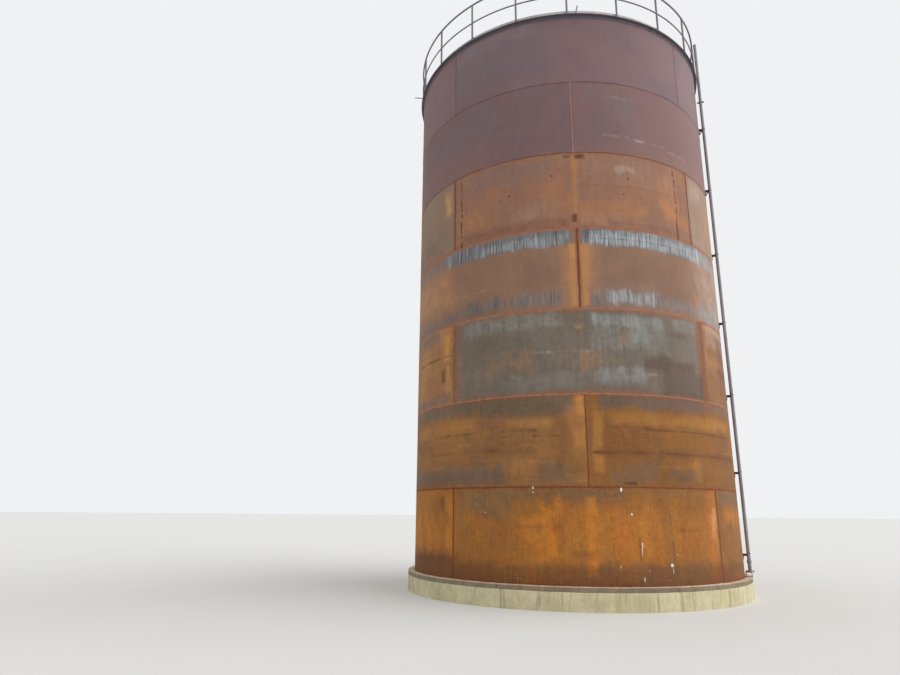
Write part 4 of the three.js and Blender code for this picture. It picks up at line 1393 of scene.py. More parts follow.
@dataclass(frozen=True)
class Foundation:
    """Plinth of cast concrete with the marks of its boards, its dark bed and the bottom plate's ledge."""

    radius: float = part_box("plinth")[1].x
    top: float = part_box("plinth")[1].z
    bed_foot: float = top - 0.08
    boards: int = 96
    board_step: float = 0.004
    chamfer: float = 0.012
    ledge_steps: int = 540
    drops: int = 46

    def add(self) -> None:
        """Adds the plinth's drum, its bed and the ledge."""
        self.add_drum()
        self.add_bed()
        self.add_ledge()

    def add_drum(self) -> None:
        """Adds the drum: its wall steps in and out by millimetres from board to board, its edge is worn."""
        share = np.array([0.02, 0.35, 0.65, 0.98])
        bearings = ((np.arange(self.boards)[:, None] + share) * 360 / self.boards).ravel()
        board = np.repeat(np.arange(self.boards, dtype=float), len(share))
        step = self.board_step * (lattice(board, board * 0, 2.0) - 1.0)
        top = self.bed_foot
        heights = np.concatenate([[0.0], np.linspace(0.01, top - self.chamfer, 8), [top]])[:, None]
        inset = np.where(heights > top - 0.5 * self.chamfer, self.chamfer, 0.0)
        wear = 0.004 * (cloud(bearings[None, :] * 0.6, heights * 20, 8.0) - 0.5) * fade_ends(bearings, 360, 6)
        drum = skin(place(self.radius - inset + step + wear, bearings, heights))
        Piece.add("plinth_drum", [drum], CONCRETE, "plinth_concrete", ["plinth"])

    def add_bed(self) -> None:
        """Adds the bed: four rings round the drum, their radius wandering with noise."""
        bearings, foot, top = full_turn(self.ledge_steps), self.bed_foot, self.top
        wander = 0.012 * (cloud(bearings * 0.25, bearings * 0, 3.0) - 0.5) * fade_ends(bearings, 360, 10)
        inset = np.array([[-0.028], [-0.008], [-0.008], [-0.018]])
        heights = np.array([[foot - 0.004], [foot + 0.004], [top - 0.012], [top]])
        bed = skin(place(self.radius + inset + wander, bearings, heights))
        Piece.add("bitumen_bed", [bed], BED, "plinth_concrete")

    def add_ledge(self) -> None:
        """Adds the bottom plate's ledge, and flat uneven drops of mortar on it."""
        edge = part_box("bottom_plate")[1]
        ledge = turned(disc(edge.x, self.top, edge.z), (0, 0, 0), UP, self.ledge_steps)
        Piece.add("bottom_plate_ledge", [ledge], LEDGE_STEEL, "foot_steel", ["bottom_plate"])
        rng = np.random.default_rng(23)
        drops = []
        for _ in range(self.drops):
            bearing, out = rng.uniform(-110, 110), SIZE.radius + rng.uniform(0.03, 0.12)
            size, stretch = rng.uniform(0.008, 0.03), rng.uniform(1.0, 2.6)
            across, outwards, share = uneven_oval(size * stretch, size, bearing)
            radius, height = out + np.clip(outwards, -0.025, 0.025), edge.z - SUNK + 0.004 * share
            drops.append(skin(place(radius, bearing + np.degrees(across / out), height)))
        Piece.add("ledge_splashes", drops, MORTAR, "foot_steel")


# Rim, roof and rail


@dataclass(frozen=True)
class Rim:
    """Curb ring on the shell: flat ring, leg outside the shell, upstand, and the rainwater spouts."""

    ring_inner: float = 3.74
    ring_outer: float = 3.885
    ring_thickness: float = 0.008
    leg_drop: float = 0.067
    upstand_inner: float = 3.802
    upstand_thickness: float = 0.006
    spout_radius: float = 0.015
    spout_bore: float = 0.011
    spout_lift: float = 0.016
    spout_end: float = 4.09
    spout_bearings: tuple[float, ...] = (3.0, 103.0, 183.0, 283.0)
    steps: int = 360

    def add(self) -> None:
        """Adds the ring with its leg, the upstand, the spouts and the beads."""
        rim, top = SIZE.rim, SIZE.rim + self.ring_thickness
        leg_inner, leg_foot = SIZE.radius + GAP, rim - self.leg_drop
        leg_outer = leg_inner + SIZE.plate
        ring = [
            (self.ring_inner, rim), (leg_inner, rim), (leg_inner, leg_foot), (leg_outer, leg_foot),
            (leg_outer, rim), (self.ring_outer, rim), (self.ring_outer, top), (self.ring_inner, top),
        ]
        flat = [turned(ring, (0, 0, 0), UP, self.steps, True)]
        Piece.add("curb_ring_flat", flat, RIM_STEEL, "rim_steel", ["curb_ring"], EDGE)
        outer = self.upstand_inner + self.upstand_thickness
        upstand = sleeve(self.upstand_inner, outer, top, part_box("curb_ring")[1].z)
        upright = [turned(upstand, (0, 0, 0), UP, self.steps, True)]
        # The upstand's pale grey is a painted highlight along the curb's upper edge.
        Piece.add("curb_upstand", upright, PALE_STEEL_AND_HIGHLIGHT, "rim_steel", bevel=0.0012)
        start = self.upstand_inner - 0.01
        pipe = sleeve(self.spout_bore, self.spout_radius, 0.0, self.spout_end - start)
        collar = [(self.spout_radius + 0.006, 0.016), (self.spout_radius, 0.024)]
        spouts = []
        for bearing in self.spout_bearings:
            station = Station(bearing)
            foot = station.at(0.0, start, top + self.spout_lift)
            spouts += [turned(pipe, foot, station.out, 20, True), turned(collar, foot, station.out, 20)]
        Piece.add("rain_spouts", spouts, PALE_STEEL_AND_HIGHLIGHT, "rim_steel")
        beads = [
            level_bead(outer + 0.002, top + 0.002, 0.012, 0.005, 41.0),
            level_bead(leg_inner + 0.002, leg_foot - 0.003, 0.012, 0.004, 43.0),
        ]
        Piece.add("curb_welds", beads, MAUVE_BEAD, "rim_steel")


@dataclass(frozen=True)
class Roof:
    """Low cone of lapped sheets with a level edge at foot and a hole at its top, its nozzle and its hatch."""

    foot: float = SIZE.rim + Rim.ring_thickness
    thickness: float = 0.006
    edge: float = 3.8016
    level_from: float = 3.74
    nozzle_radius: float = 0.1095
    hole: float = nozzle_radius + GAP
    flange_radius: float = 0.16
    flange_thickness: float = 0.02
    nozzle_circle: float = 0.137
    nozzle_bolts: int = 8
    seams: int = 12
    seam_start: float = 0.36
    seam_end: float = 3.72
    sag: float = 0.004
    bead_width: float = 0.016
    bead_rise: float = 0.004
    hatch: Station = Station(235.0)
    hatch_distance: float = 2.65
    neck_radius: float = 0.305
    neck_wall: float = 0.008
    hatch_flange: float = 0.37
    hatch_flange_thickness: float = 0.012
    hatch_circle: float = 0.342
    hatch_bolts: int = 12
    cover_thickness: float = 0.012
    handle_half: float = 0.11
    handle_height: float = 0.06

    @property
    def rise_per_metre(self) -> float:
        """Slope of the cone, from the frame's box at the nozzle's hole to the level edge."""
        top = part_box("roof_left")[1].z - self.thickness
        return (top - self.foot) / (self.level_from - self.hole)

    def height(self, radius: Array, bearing: Array) -> Array:
        """Height of the cone's underside: a straight slope that sags a little between the seams.

        Args:
            radius: distances from the axis.
            bearing: bearings.

        Returns:
            A height for each place.
        """
        slope = self.foot + self.rise_per_metre * (self.level_from - radius)
        dip = np.sin(np.radians(bearing) * self.seams / 2) ** 2
        middle = np.sin(np.pi * np.clip(radius / self.level_from, 0, 1)) ** 2
        return np.where(radius >= self.level_from, self.foot, slope - self.sag * dip * middle)

    def half(self, start: float) -> Surface:
        """Half of the cone: at each bearing, the points of its under side and its upper one.

        Args:
            start: bearing of its first edge.

        Returns:
            The closed skin.
        """
        bearings = np.linspace(start, start + 180, 121)[:, None]
        outward = np.concatenate([np.linspace(self.hole, self.level_from, 26), [self.edge]])
        radius = np.concatenate([outward, outward[::-1]])[None, :]
        lift = np.where(np.arange(radius.size) < len(outward), 0.0, self.thickness)[None, :]
        radius, bearings = np.broadcast_arrays(radius, bearings)
        return skin(place(radius, bearings, self.height(radius, bearings) + lift))

    def add(self) -> None:
        """Adds both halves, the seams' beads, the nozzle and the hatch."""
        bore = [(self.neck_radius, -0.1), (self.neck_radius, 0.9)]
        hatch = turned(bore, self.hatch.at(0.0, self.hatch_distance, self.foot), UP, 64)
        for side, start, hole in (("right", 0.0, None), ("left", 180.0, hatch)):
            sheet = [self.half(start)]
            Piece.add(f"roof_sheet_{side}", sheet, ROOF_STEEL, "roof_steel", [f"roof_{side}"], hole=hole)
        beads, size = [], (self.bead_width, self.bead_rise)
        radius = np.linspace(self.seam_start, self.seam_end, 90)
        for index in range(self.seams):
            bearing = index * 360 / self.seams
            path = place(radius, bearing, self.height(radius, bearing + 0 * radius) + self.thickness)
            slope = unit(UP + self.rise_per_metre * Station(bearing).out)
            beads.append(bead(path, slope + 0 * path, *size, index + 60.0))
        for distance, lift in ((self.seam_start, 0.0), (self.edge, -0.004)):
            level = float(self.height(np.array(distance), np.array(0.0))) + self.thickness + lift
            path = place(distance, full_turn(300), level)
            beads.append(bead(path, UP + 0 * path, *size, 80.0, True))
        Piece.add("roof_welds", beads, DARK_BEAD, "roof_steel")
        self.add_nozzle()
        self.add_hatch()

    def add_nozzle(self) -> None:
        """Adds the blanked nozzle at the middle, with its bolts."""
        low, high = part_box("roof_nozzle")
        joint = high.z - self.flange_thickness
        back = joint - self.flange_thickness
        neck = [(self.nozzle_radius, low.z), (self.nozzle_radius, back)]
        flange = disc(self.flange_radius, back, joint - 0.0005)
        blind = disc(self.flange_radius, joint, high.z)
        skins = [turned(profile, (0, 0, 0), UP, 64) for profile in ([*neck, *flange], blind)]
        Piece.add("nozzle_and_blind_flange", skins, FITTING_STEEL, "fitting_steel", ["roof_nozzle"])
        grip = 2 * self.flange_thickness
        bearings = full_turn(self.nozzle_bolts) + 180 / self.nozzle_bolts
        bolts = [hex_bolt(place(self.nozzle_circle, bearing, back), -UP, 0.02, grip) for bearing in bearings]
        Piece.add("nozzle_bolts", bolts, BOLT_STEEL, "fitting_steel")

    def add_hatch(self) -> None:
        """Adds the hatch's neck, its shut cover with a handle, and its bolts."""
        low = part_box("roof_hatch_neck")[0].z
        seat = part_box("roof_hatch_cover")[0].z
        centre = self.hatch.at(0.0, self.hatch_distance, 0.0)
        bore, joint, top = self.neck_radius - self.neck_wall, seat - 0.0003, seat + self.cover_thickness
        back = joint - self.hatch_flange_thickness
        neck = [
            (bore, low), (self.neck_radius, low), (self.neck_radius, back),
            (self.hatch_flange, back), (self.hatch_flange, joint), (bore, joint),
        ]
        skins = [turned(neck, centre, UP, 72, True)]
        Piece.add("hatch_neck_round", skins, FITTING_STEEL, "fitting_steel", ["roof_hatch_neck"])
        root, tip = top - 0.004, top + self.handle_height
        across, up = self.handle_half * np.array([-1, -1, 1, 1]), [root, tip, tip, root]
        corners = Station(180.0).at(0.0, across, up) + centre
        handle = bar(rounded_path(corners, 0.03), round_outline(ROD, 14), (1.0, 0.0, 0.0))
        skins = [turned(disc(self.hatch_flange, seat, top), centre, UP, 72), handle]
        Piece.add("hatch_cover_round", skins, FITTING_STEEL, "fitting_steel", ["roof_hatch_cover"])
        seats = centre + place(self.hatch_circle, full_turn(self.hatch_bolts), top)
        bolts = [hex_bolt(seat, UP, 0.022, 0.0245) for seat in seats]
        Piece.add("hatch_bolts", bolts, BOLT_STEEL, "fitting_steel")
        outward = place(1.0, full_turn(120), 0.0)
        path = (self.neck_radius + 0.002) * outward + centre
        distance = np.hypot(path[:, 0], path[:, 1])
        path[:, 2] = self.height(distance, 0 * distance) + self.thickness + 0.002
        fillet = bead(path, outward, 0.016, 0.007, 90.0, True)
        Piece.add("hatch_fillet", [fillet], DARK_BEAD, "roof_steel")


@dataclass(frozen=True)
class GuardRail:
    """Tube guard rail in four sections, open at the walkway."""

    radius: float = 3.845
    posts: int = 20
    sections: int = 4
    open_bearing: float = 207.0
    post_radius: float = 0.024
    top_radius: float = 0.021
    middle_radius: float = 0.0165
    middle_height: float = 0.539
    foot_plate: float = 0.078
    foot_thickness: float = 0.006
    step: float = 1.5

    def tube(self, start: float, end: float, height: float, radius: float) -> Surface:
        """Level tube bent round the tank between two bearings."""
        count = max(3, round((end - start) / self.step) + 1)
        return bar(place(self.radius, np.linspace(start, end, count), height), round_outline(radius, 14))

    def post(self, bearing: float, foot: float, top: float) -> list[Surface]:
        """A post on its small foot plate, with the fillet round it.

        Args:
            bearing: where it stands.
            foot: height of its foot.
            top: height of its top.

        Returns:
            Its skins.
        """
        station, plate_top = Station(bearing), self.foot_thickness
        base = station.at(0.0, self.radius, foot)
        tube = [(self.post_radius, plate_top - SUNK), (self.post_radius, top - foot)]
        fillet = [(self.post_radius + 0.008, plate_top - SUNK), (self.post_radius, plate_top + 0.008)]
        outline = box_outline(self.foot_plate, self.foot_plate)
        plate = station.beam(0.0, self.radius, [foot, foot + plate_top], outline, station.out)
        return [turned(tube, base, UP, 18), turned(fillet, base, UP, 18), plate]

    def add(self) -> None:
        """Adds the four sections, each with five posts and its own stretch of both tubes."""
        foot = SIZE.rim + Rim.ring_thickness
        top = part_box("guard_rail_1")[1].z - self.top_radius
        bay = 360 / self.posts
        first = self.open_bearing + bay / 2
        per_section = self.posts // self.sections
        for section in range(self.sections):
            bearings = first + bay * (section * per_section + np.arange(per_section))
            start = bearings[0] - (bay / 2 if section else 0)
            end = bearings[-1] + (bay / 2 if section < self.sections - 1 else 0)
            skins = [
                self.tube(start, end, top, self.top_radius),
                self.tube(start, end, SIZE.rim + self.middle_height, self.middle_radius),
            ]
            for bearing in bearings:
                skins += self.post(bearing, foot, top)
            name = f"guard_rail_{section + 1}"
            Piece.add(name + "_tubes", skins, RAIL_STEEL, "rail_steel", [name])


@dataclass(frozen=True)
class Landing:
    """Seat for a walkway at the rail's open bay: a deck with a raised pattern on two braced channel arms."""

    station: Station = Station(207.0)
    inner: float = 3.89
    outer: float = 4.19
    width: float = 0.9
    spacing: float = 0.8
    arm_depth: float = 0.08
    arm_width: float = 0.06
    deck: float = 0.008
    brace_drop: float = 0.35
    brace_leg: float = 0.045
    set_back: float = 0.06
    foot_size: float = 0.15
    foot_thickness: float = 0.01
    wall: float = 0.006

    def channel(self) -> Array:
        """Outline of a channel section that opens to one side.

        Returns:
            Its corners, sideways and upwards.
        """
        half, depth, wall = self.arm_width / 2, self.arm_depth / 2, self.wall
        side = np.array([-half, half, half, wall - half, wall - half, half, half, -half])
        up = np.array([-depth, -depth, wall - depth, wall - depth, depth - wall, depth - wall, depth, depth])
        return np.stack([side, up], 1)

    def angle(self) -> Array:
        """Outline of an equal angle section."""
        leg, wall = self.brace_leg, self.wall
        return np.array([(0, 0), (leg, 0), (leg, wall), (wall, wall), (wall, leg), (0, leg)]) - leg / 3

    def add(self) -> None:
        """Adds the deck with its treads, the arms, the braces and their feet on the shell."""
        station, deck_top = self.station, SIZE.rim
        arm_top = deck_top - self.deck
        arm_foot = arm_top - self.arm_depth
        arm_middle = (arm_top + arm_foot) / 2
        ends = [-self.width / 2, self.width / 2]
        deck, end = box_outline(self.outer - self.inner, self.deck), box_outline(self.deck, self.arm_depth)
        skins = [
            station.beam(ends, (self.inner + self.outer) / 2, deck_top - self.deck / 2, deck),
            station.beam(ends, self.outer - self.deck / 2, arm_middle, end),
        ]
        foot = arm_foot - self.brace_drop
        for sign in (-1, 1):
            side = sign * self.spacing / 2
            wall = math.sqrt(SIZE.radius**2 - side**2)
            outline = (self.channel() * (sign, 1))[::sign]
            skins.append(station.beam(side, [wall + 0.0095, self.outer - self.deck], arm_middle, outline))
            reach = [wall + 0.004, self.outer - self.set_back - 0.01]
            skins.append(station.beam(side, reach, [foot, arm_foot + 0.01], self.angle()))
            pad = Station(station.bearing + math.degrees(math.asin(side / SIZE.radius)))
            near = SIZE.radius + GAP
            square = box_outline(self.foot_size, self.foot_size)
            skins.append(pad.beam(0.0, [near, near + self.foot_thickness], foot, square))
        Piece.add("landing_frame", skins, RAIL_STEEL, "rail_steel", ["walkway_landing"], EDGE)
        self.add_treads()

    def add_treads(self) -> None:
        """Adds the deck's raised pattern: short low bars, turned one way and the other."""
        ribs, outline, pitch = [], box_outline(0.004, 0.0022), 0.032
        spread = np.array([-0.009, 0.009])
        half = self.width / 2
        for row, out in enumerate(np.arange(self.inner + 0.03, self.outer - 0.01, pitch)):
            for index, across in enumerate(np.arange(-half + 0.03, half - 0.02, pitch)):
                turned_out = out + (spread if (row + index) % 2 else -spread)
                ribs.append(self.station.beam(across + spread, turned_out, SIZE.rim + 0.0003, outline))
        Piece.add("landing_treads", ribs, RAIL_STEEL, "rail_steel")


@dataclass(frozen=True)
class Standpipe:
    """Upright pipe beside the shell, with its foot, flanges, coupling, and the brackets that hold it."""

    station: Station = Station(72.0)
    distance: float = 3.925
    radius: float = 0.038
    wall: float = 0.0036
    flange_radius: float = 0.0925
    flange_middle: float = 11.908
    flange_plate: float = 0.007
    flange_half_width: float = 0.045
    bolt_spread: float = 0.0725
    bolt_size: float = 0.014
    foot: float = SIZE.foot + 0.1
    foot_flange: float = 0.02
    coupling_radius: float = 0.048
    coupling_length: float = 0.07
    coupling_height: float = 0.309
    brackets: int = 7
    bracket_first: float = 0.479
    bracket_spacing: float = 1.772
    bracket_size: float = 0.05
    wall_plate: float = 0.12
    wall_plate_thickness: float = 0.012
    braced: int = 2
    strut_drop: float = 0.15
    strut_thickness: float = 0.015
    stool_width: float = 0.17
    stool_plate: float = 0.012
    stool_gap: float = 0.02
    stool_end: float = 3.96

    def stool(self) -> Surface:
        """Foot stool: an inverted U outline of plate, carried along the wall's level direction.

        Returns:
            The closed skin.
        """
        low, top, plate = SIZE.foot, self.foot, self.stool_plate
        near, far = SIZE.radius + self.stool_gap, self.stool_end
        out = np.array([near, near, far, far, far - plate, far - plate, near + plate, near + plate])
        up = np.array([low, top, top, low, low, top - plate, top - plate, low])
        across = np.array([[-0.5], [0.5]]) * self.stool_width
        return skin(self.station.at(*np.broadcast_arrays(across, out, up)))

    def add(self) -> None:
        """Adds the pipe, its stool, the brackets with their U-bolts, and the flange bolts."""
        self.add_tube()
        station = self.station
        plates, bolts = [self.stool()], []
        for index in range(self.brackets):
            height = SIZE.foot + self.bracket_first + index * self.bracket_spacing
            plates += self.bracket(height, index >= self.brackets - self.braced)
            bolts += self.u_bolt(height + 0.005)
        joint = SIZE.foot + self.flange_middle + self.flange_plate
        for side in (-1, 1):
            seat = station.at(0.0, self.distance + side * self.bolt_spread, joint)
            bolts.append(hex_bolt(seat, UP, self.bolt_size, 2 * self.flange_plate))
        for corner in range(4):
            spot = place(self.bolt_spread, 90 * corner + 45, 0.0)
            seat = spot + station.at(0.0, self.distance, self.foot + self.foot_flange)
            bolts.append(hex_bolt(seat, UP, self.bolt_size, self.foot_flange))
        Piece.add("pipe_brackets", plates, CLAMP_STEEL, "pipe_steel", bevel=EDGE)
        Piece.add("pipe_bolts", bolts, BOLT_STEEL, "pipe_steel")

    def bracket(self, top: float, braced: bool) -> list[Surface]:
        """Bar from a plate on the wall to the pipe, with a strut below it if it is braced.

        Args:
            top: height of the bar's upper face.
            braced: whether it has a strut.

        Returns:
            Its skins.
        """
        station, size, plate = self.station, self.bracket_size, self.wall_plate
        near, end = SIZE.radius + GAP, self.distance + 0.01
        middle, square = top - size / 2, box_outline(plate, plate)
        pad = [near, near + self.wall_plate_thickness]
        plates = [
            station.beam(0.0, [near, end], middle, box_outline(size, size)),
            station.beam(0.0, pad, top - plate / 2, square, station.across),
        ]
        if braced:
            strut = box_outline(size, self.strut_thickness)
            reach = [near + 0.002, end - 0.03]
            plates.append(station.beam(0.0, reach, [top - self.strut_drop, middle], strut))
        return plates

    def oval(self, low: float, high: float) -> Surface:
        """Oval flange: rings of (length cos t, half width sin t) about the pipe, long across the wall.

        Args:
            low: height of its lower face.
            high: height of its upper face.

        Returns:
            The closed skin.
        """
        turn = np.radians(full_turn(40))
        length, heights = np.array(disc(self.flange_radius, low, high, 0.001)).T[:, :, None]
        out = self.distance + length * np.cos(turn)
        across = (self.flange_half_width - self.flange_radius + length) * np.sin(turn)
        return skin(self.station.at(across, out, heights + 0 * out))

    def add_tube(self) -> None:
        """Adds the pipe, its foot's flange, its coupling and the pair of oval flanges."""
        axis, foot, top = self.station.at(0.0, self.distance, 0.0), self.foot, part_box("standpipe")[1].z
        bore, middle = self.radius - self.wall, SIZE.foot + self.flange_middle
        pipe = [
            (0.02, foot - SUNK), (self.radius, foot - SUNK), (self.radius, top - 0.001),
            (self.radius - 0.001, top), (bore, top), (bore, top - 0.4), (0.01, top - 0.4),
        ]
        low = SIZE.foot + self.coupling_height - self.coupling_length / 2
        high = low + self.coupling_length
        coupling = [
            (self.radius, low), (self.coupling_radius, low + 0.006),
            (self.coupling_radius, high - 0.006), (self.radius, high),
        ]
        skins = [turned(profile, axis, UP, 32) for profile in (pipe, coupling)]
        skins.append(turned(disc(self.flange_radius, foot, foot + self.foot_flange), axis, UP, 40))
        fillet = [(self.radius + 0.006, 0.0), (self.radius, 0.006)]
        for side in (-1, 1):
            inner, outer = middle + side * 0.0005, middle + side * self.flange_plate
            skins.append(self.oval(min(inner, outer), max(inner, outer)))
            skins.append(turned(fillet, axis + (0, 0, outer), (0, 0, side), 32))
        Piece.add("standpipe_tube", skins, PIPE_STEEL, "pipe_steel", ["standpipe"])

    def u_bolt(self, height: float) -> list[Surface]:
        """Half round bar behind the pipe, its two ends towards the wall, with nuts.

        Args:
            height: height of the bar's middle.

        Returns:
            Its skins.
        """
        reach, start = self.radius + 0.005, self.distance - 0.04
        angle = np.linspace(0, np.pi, 13)
        across = np.concatenate([[reach], reach * np.cos(angle), [-reach]])
        out = np.concatenate([[start], self.distance + reach * np.sin(angle), [start]])
        skins = [self.station.beam(across, out, height, round_outline(0.004, 10))]
        for side in (-reach, reach):
            seat = self.station.at(side, start + 0.01, height)
            skins.append(turned([(0.008, 0.0), (0.008, 0.006), (0.007, 0.007)], seat, -self.station.out, 6))
        return skins


@dataclass(frozen=True)
class Manway:
    """Round manway with a bolted cover on a swan-neck davit, whose plane cuts the middle of the cover."""

    station: Station = Station(180.0)
    middle: float = SIZE.foot + 0.75
    neck_radius: float = 0.305
    neck_wall: float = 0.01
    neck_inside: float = 3.7
    face: float = 4.08
    cover_gap: float = 0.0003
    flange_radius: float = 0.38
    flange_thickness: float = 0.02
    cover_thickness: float = 0.016
    pad_radius: float = 0.56
    pad_thickness: float = 0.008
    bolts: int = 20
    bolt_circle: float = 0.345
    handle_height: float = 0.22
    handle_reach: float = 0.06
    handle_spacing: float = 0.26
    davit_out: float = face + cover_gap + cover_thickness / 2
    davit_side: float = 0.48
    davit_radius: float = 0.021
    davit_foot: float = 0.18
    davit_top: float = 0.75
    davit_bend: float = 0.35
    davit_tip: float = -0.06
    lug_heights: tuple[float, ...] = (-0.06, 0.12)
    lug_thickness: float = 0.016
    cover_lug: tuple[float, float] = (0.05, 0.06)

    def bore(self) -> Surface:
        """The round space that the neck takes from the shell."""
        foot, radius = self.station.at(0.0, self.neck_inside - 0.05, self.middle), self.neck_radius + GAP
        return turned([(radius, 0.0), (radius, 0.5)], foot, self.station.out, 72)

    def pad(self) -> Surface:
        """Reinforcing pad: a disc bent to the shell, from rings of points at growing radii.

        Returns:
            The closed skin.
        """
        turn = np.radians(full_turn(96))
        inner, near, far = SIZE.radius + GAP, self.neck_radius - 0.004, self.pad_radius
        thick = self.pad_thickness
        lift = np.array([0.0, 0.0, 0.001, thick - 0.002, thick, thick])[:, None]
        radius = np.array([near, far - 0.004, far, far, far - 0.004, near])[:, None]
        bearings = self.station.bearing + np.degrees(radius * np.cos(turn) / inner)
        return skin(place(inner + lift, bearings, self.middle + radius * np.sin(turn)), wrap=True)

    def add(self) -> None:
        """Adds the neck, the cover and the davit."""
        self.add_neck()
        self.add_cover()
        self.add_davit()

    def add_neck(self) -> None:
        """Adds the neck, flange, pad and davit lugs, with the fillets round the neck."""
        station, bore = self.station, self.neck_radius - self.neck_wall
        face = self.face - self.neck_inside
        back = face - self.flange_thickness
        flange = disc(self.flange_radius, back, face, 0.002)
        profile = [(bore, 0.0), (self.neck_radius, 0.0), (self.neck_radius, back), *flange, (bore, face)]
        foot = station.at(0.0, self.neck_inside, self.middle)
        skins = [turned(profile, foot, station.out, 96, True), self.pad()]
        socket = sleeve(self.davit_radius + GAP, self.davit_radius + 0.014, 0.0, self.lug_thickness)
        lug = box_outline(self.flange_thickness, self.lug_thickness)
        across = [self.flange_radius - 0.03, self.davit_side - self.davit_radius - 0.004]
        for offset in self.lug_heights:
            low = self.middle + offset
            skins.append(turned(socket, station.at(self.davit_side, self.davit_out, low), UP, 28, True))
            out, up = self.face - self.flange_thickness / 2, low + self.lug_thickness / 2
            skins.append(station.beam(across, out, up, lug))
        Piece.add("manway_neck_round", skins, FITTING_STEEL, "fitting_steel", ["manway_neck"])
        turn = np.radians(full_turn(140))
        fillets = []
        near, far = self.neck_radius + 0.003, self.pad_radius + 0.002
        for radius, lift, rise in ((near, self.pad_thickness, 0.01), (far, 0.002, 0.006)):
            bearings = station.bearing + np.degrees(radius * np.cos(turn) / SIZE.radius)
            path = place(SIZE.radius + lift, bearings, self.middle + radius * np.sin(turn))
            fillets.append(bead(path, place(1.0, bearings, 0.0), 0.02, rise, radius * 100, True))
        Piece.add("manway_welds", fillets, DARK_BEAD, "fitting_steel")

    def add_cover(self) -> None:
        """Adds the cover with its handles, its lug and its bolts."""
        station, back = self.station, self.face + self.cover_gap
        front = back + self.cover_thickness
        foot = station.at(0.0, back, self.middle)
        skins = [turned(disc(self.flange_radius, 0.0, self.cover_thickness), foot, station.out, 96)]
        low, high = self.middle - self.handle_height / 2, self.middle + self.handle_height / 2
        root, tip = front - 0.003, front + self.handle_reach
        for side in (-0.5, 0.5):
            corners = station.at(side * self.handle_spacing, [root, tip, tip, root], [low, low, high, high])
            path = rounded_path(corners, self.handle_reach / 2)
            skins.append(bar(path, round_outline(ROD, 14), station.across))
        width, rise = self.cover_lug
        lug_top = self.middle + self.flange_radius + rise
        lug = box_outline(width, self.cover_thickness)
        skins.append(station.beam(0.0, self.davit_out, [lug_top - rise - 0.03, lug_top], lug, station.out))
        Piece.add("manway_cover_round", skins, FITTING_STEEL, "fitting_steel", ["manway_cover"])
        bolts = []
        grip = self.cover_thickness + self.flange_thickness + 2 * self.cover_gap
        for angle in np.radians(full_turn(self.bolts) + 180 / self.bolts):
            up = self.middle + self.bolt_circle * math.cos(angle)
            seat = station.at(self.bolt_circle * math.sin(angle), front, up)
            bolts.append(hex_bolt(seat, station.out, 0.026, grip))
        Piece.add("manway_bolts", bolts, BOLT_STEEL, "fitting_steel")

    def add_davit(self) -> None:
        """Adds the swan-neck arm, its collar and the hook that holds the cover's lug."""
        station, out, side, tube = self.station, self.davit_out, self.davit_side, self.davit_radius
        low, top = self.middle - self.davit_foot, self.middle + self.davit_top
        corners = station.at([side, side, self.davit_tip], out, [low, top, top])
        arm = bar(rounded_path(corners, self.davit_bend, 18), round_outline(tube, 20), station.out)
        lug_top = self.middle + self.flange_radius + self.cover_lug[1]
        hook = station.beam(0.0, out, [lug_top + GAP, top], round_outline(0.01, 14), station.out)
        seat = self.middle + self.lug_heights[1] + self.lug_thickness + GAP
        collar = [(tube + 0.01, 0.0), (tube + 0.01, 0.018), (tube, 0.02)]
        skins = [arm, hook, turned(collar, station.at(side, out, seat), UP, 28)]
        for foot in (top + tube - 0.002, top - tube - 0.012):
            nut = [(0.02, 0.0), (0.02, 0.014), (0.017, 0.016)]
            skins.append(turned(nut, station.at(0.0, out, foot), UP, 6))
        Piece.add("manway_davit_arm", skins, FITTING_STEEL, "fitting_steel", ["manway_davit"])


# Stage


def facing(heading: float, pitch: float, roll: float = 0.0, spot: Vec = (0.0, 0.0, 0.0)) -> Matrix:
    """Matrix of a camera or a light: rotations about its own Z, X and Z again, all in degrees.

    Args:
        heading: turn from +Y towards -X.
        pitch: tilt up from the level.
        roll: turn about the view.
        spot: where it stands.

    Returns:
        The matrix.
    """
    matrix = Matrix.Translation(tuple(spot))
    for angle, axis in ((heading, "Z"), (90 + pitch, "X"), (roll, "Z")):
        matrix = matrix @ Matrix.Rotation(math.radians(angle), 4, axis)
    return matrix


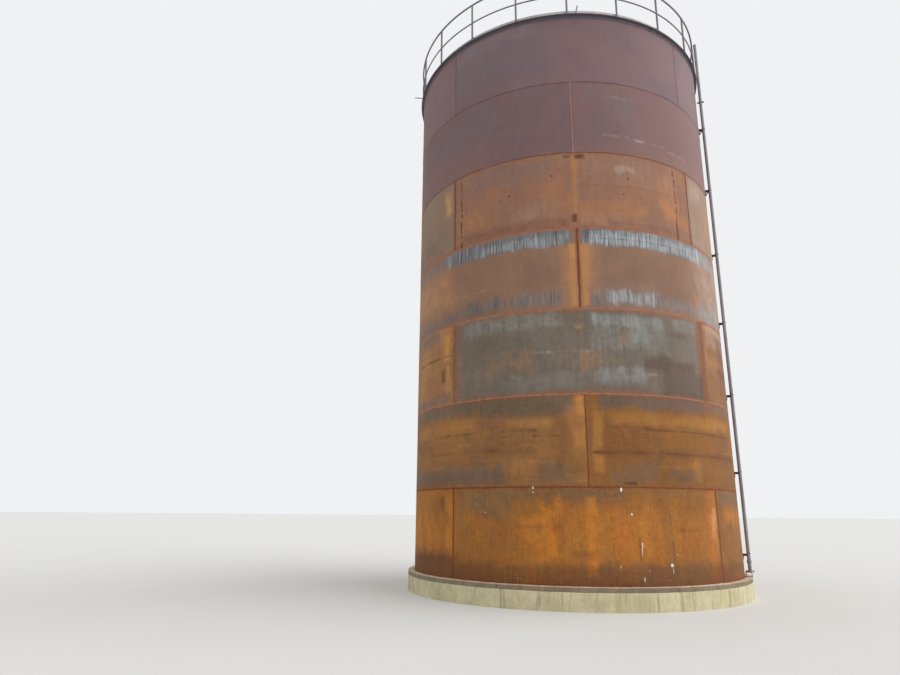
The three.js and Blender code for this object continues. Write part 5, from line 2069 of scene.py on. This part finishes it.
@dataclass(frozen=True)
class Viewpoint:
    """The camera: at eye height before the tank, looking up. Angles in degrees, the lens in millimetres.

    heading turns its view from +Y towards -X.
    """

    distance: float = 16.89
    bearing: float = -5.5
    height: float = 1.74
    heading: float = 4.76
    pitch: float = 15.05
    roll: float = 0.44
    lens: float = 26.02
    sensor: float = 36.0
    reach: float = 2000.0

    def add(self) -> None:
        """Adds the camera and makes it the scene's own."""
        data = bpy.data.cameras.new("viewpoint")
        data.lens, data.sensor_width, data.sensor_fit = self.lens, self.sensor, "HORIZONTAL"
        data.clip_end = self.reach
        camera = placed("viewpoint", data)
        spot = place(self.distance, self.bearing, self.height)
        camera.matrix_world = facing(self.heading, self.pitch, self.roll, spot)
        bpy.context.scene.camera = camera


@dataclass(frozen=True)
class Studio:
    """Pale floor, even sky light, and one broad soft light from the viewer's right."""

    floor_tone: Tone = (206, 205, 202)
    floor_half: float = 400.0
    floor_thickness: float = 0.02
    sky_tone: Tone = (248, 249, 250)
    sky_strength: float = 0.93
    light_bearing: float = 84.0
    light_height: float = 32.0
    light_angle: float = 80.0
    light_strength: float = 2.3

    def add(self) -> None:
        """Adds the floor, the sky and the light, and shows colours as they are."""
        scene = bpy.context.scene
        scene.view_settings.view_transform = "Standard"
        scene.view_settings.look = "None"
        world = bpy.data.worlds.new("soft_sky")
        world.use_nodes = True
        background = world.node_tree.nodes["Background"]
        background.inputs["Color"].default_value = linear(self.sky_tone)
        background.inputs["Strength"].default_value = self.sky_strength
        scene.world = world
        half, depth = self.floor_half, self.floor_thickness
        path = np.array([(-half, 0, -depth / 2), (half, 0, -depth / 2)])
        floor_skin = bar(path, box_outline(2 * half, depth))
        Piece.object_from("floor", floor_skin, FloorFinish("pale_floor", self.floor_tone))
        data = bpy.data.lights.new("soft_light", "SUN")
        data.energy, data.angle = self.light_strength, math.radians(self.light_angle)
        light = placed("soft_light", data)
        light.matrix_world = facing(self.light_bearing, -self.light_height)


def main() -> None:
    """Builds the tank piece by piece, then its stage."""
    Viewpoint().add()
    Studio().add()
    wall = Wall()
    wall.add_plates()
    wall.add_beads()
    wall.add_scars()
    wall.add_splashes()
    Foundation().add()
    Rim().add()
    Roof().add()
    GuardRail().add()
    Landing().add()
    Standpipe().add()
    Manway().add()


if __name__ == "__main__":
    logging.basicConfig(level=logging.INFO, format="%(message)s")
    main()
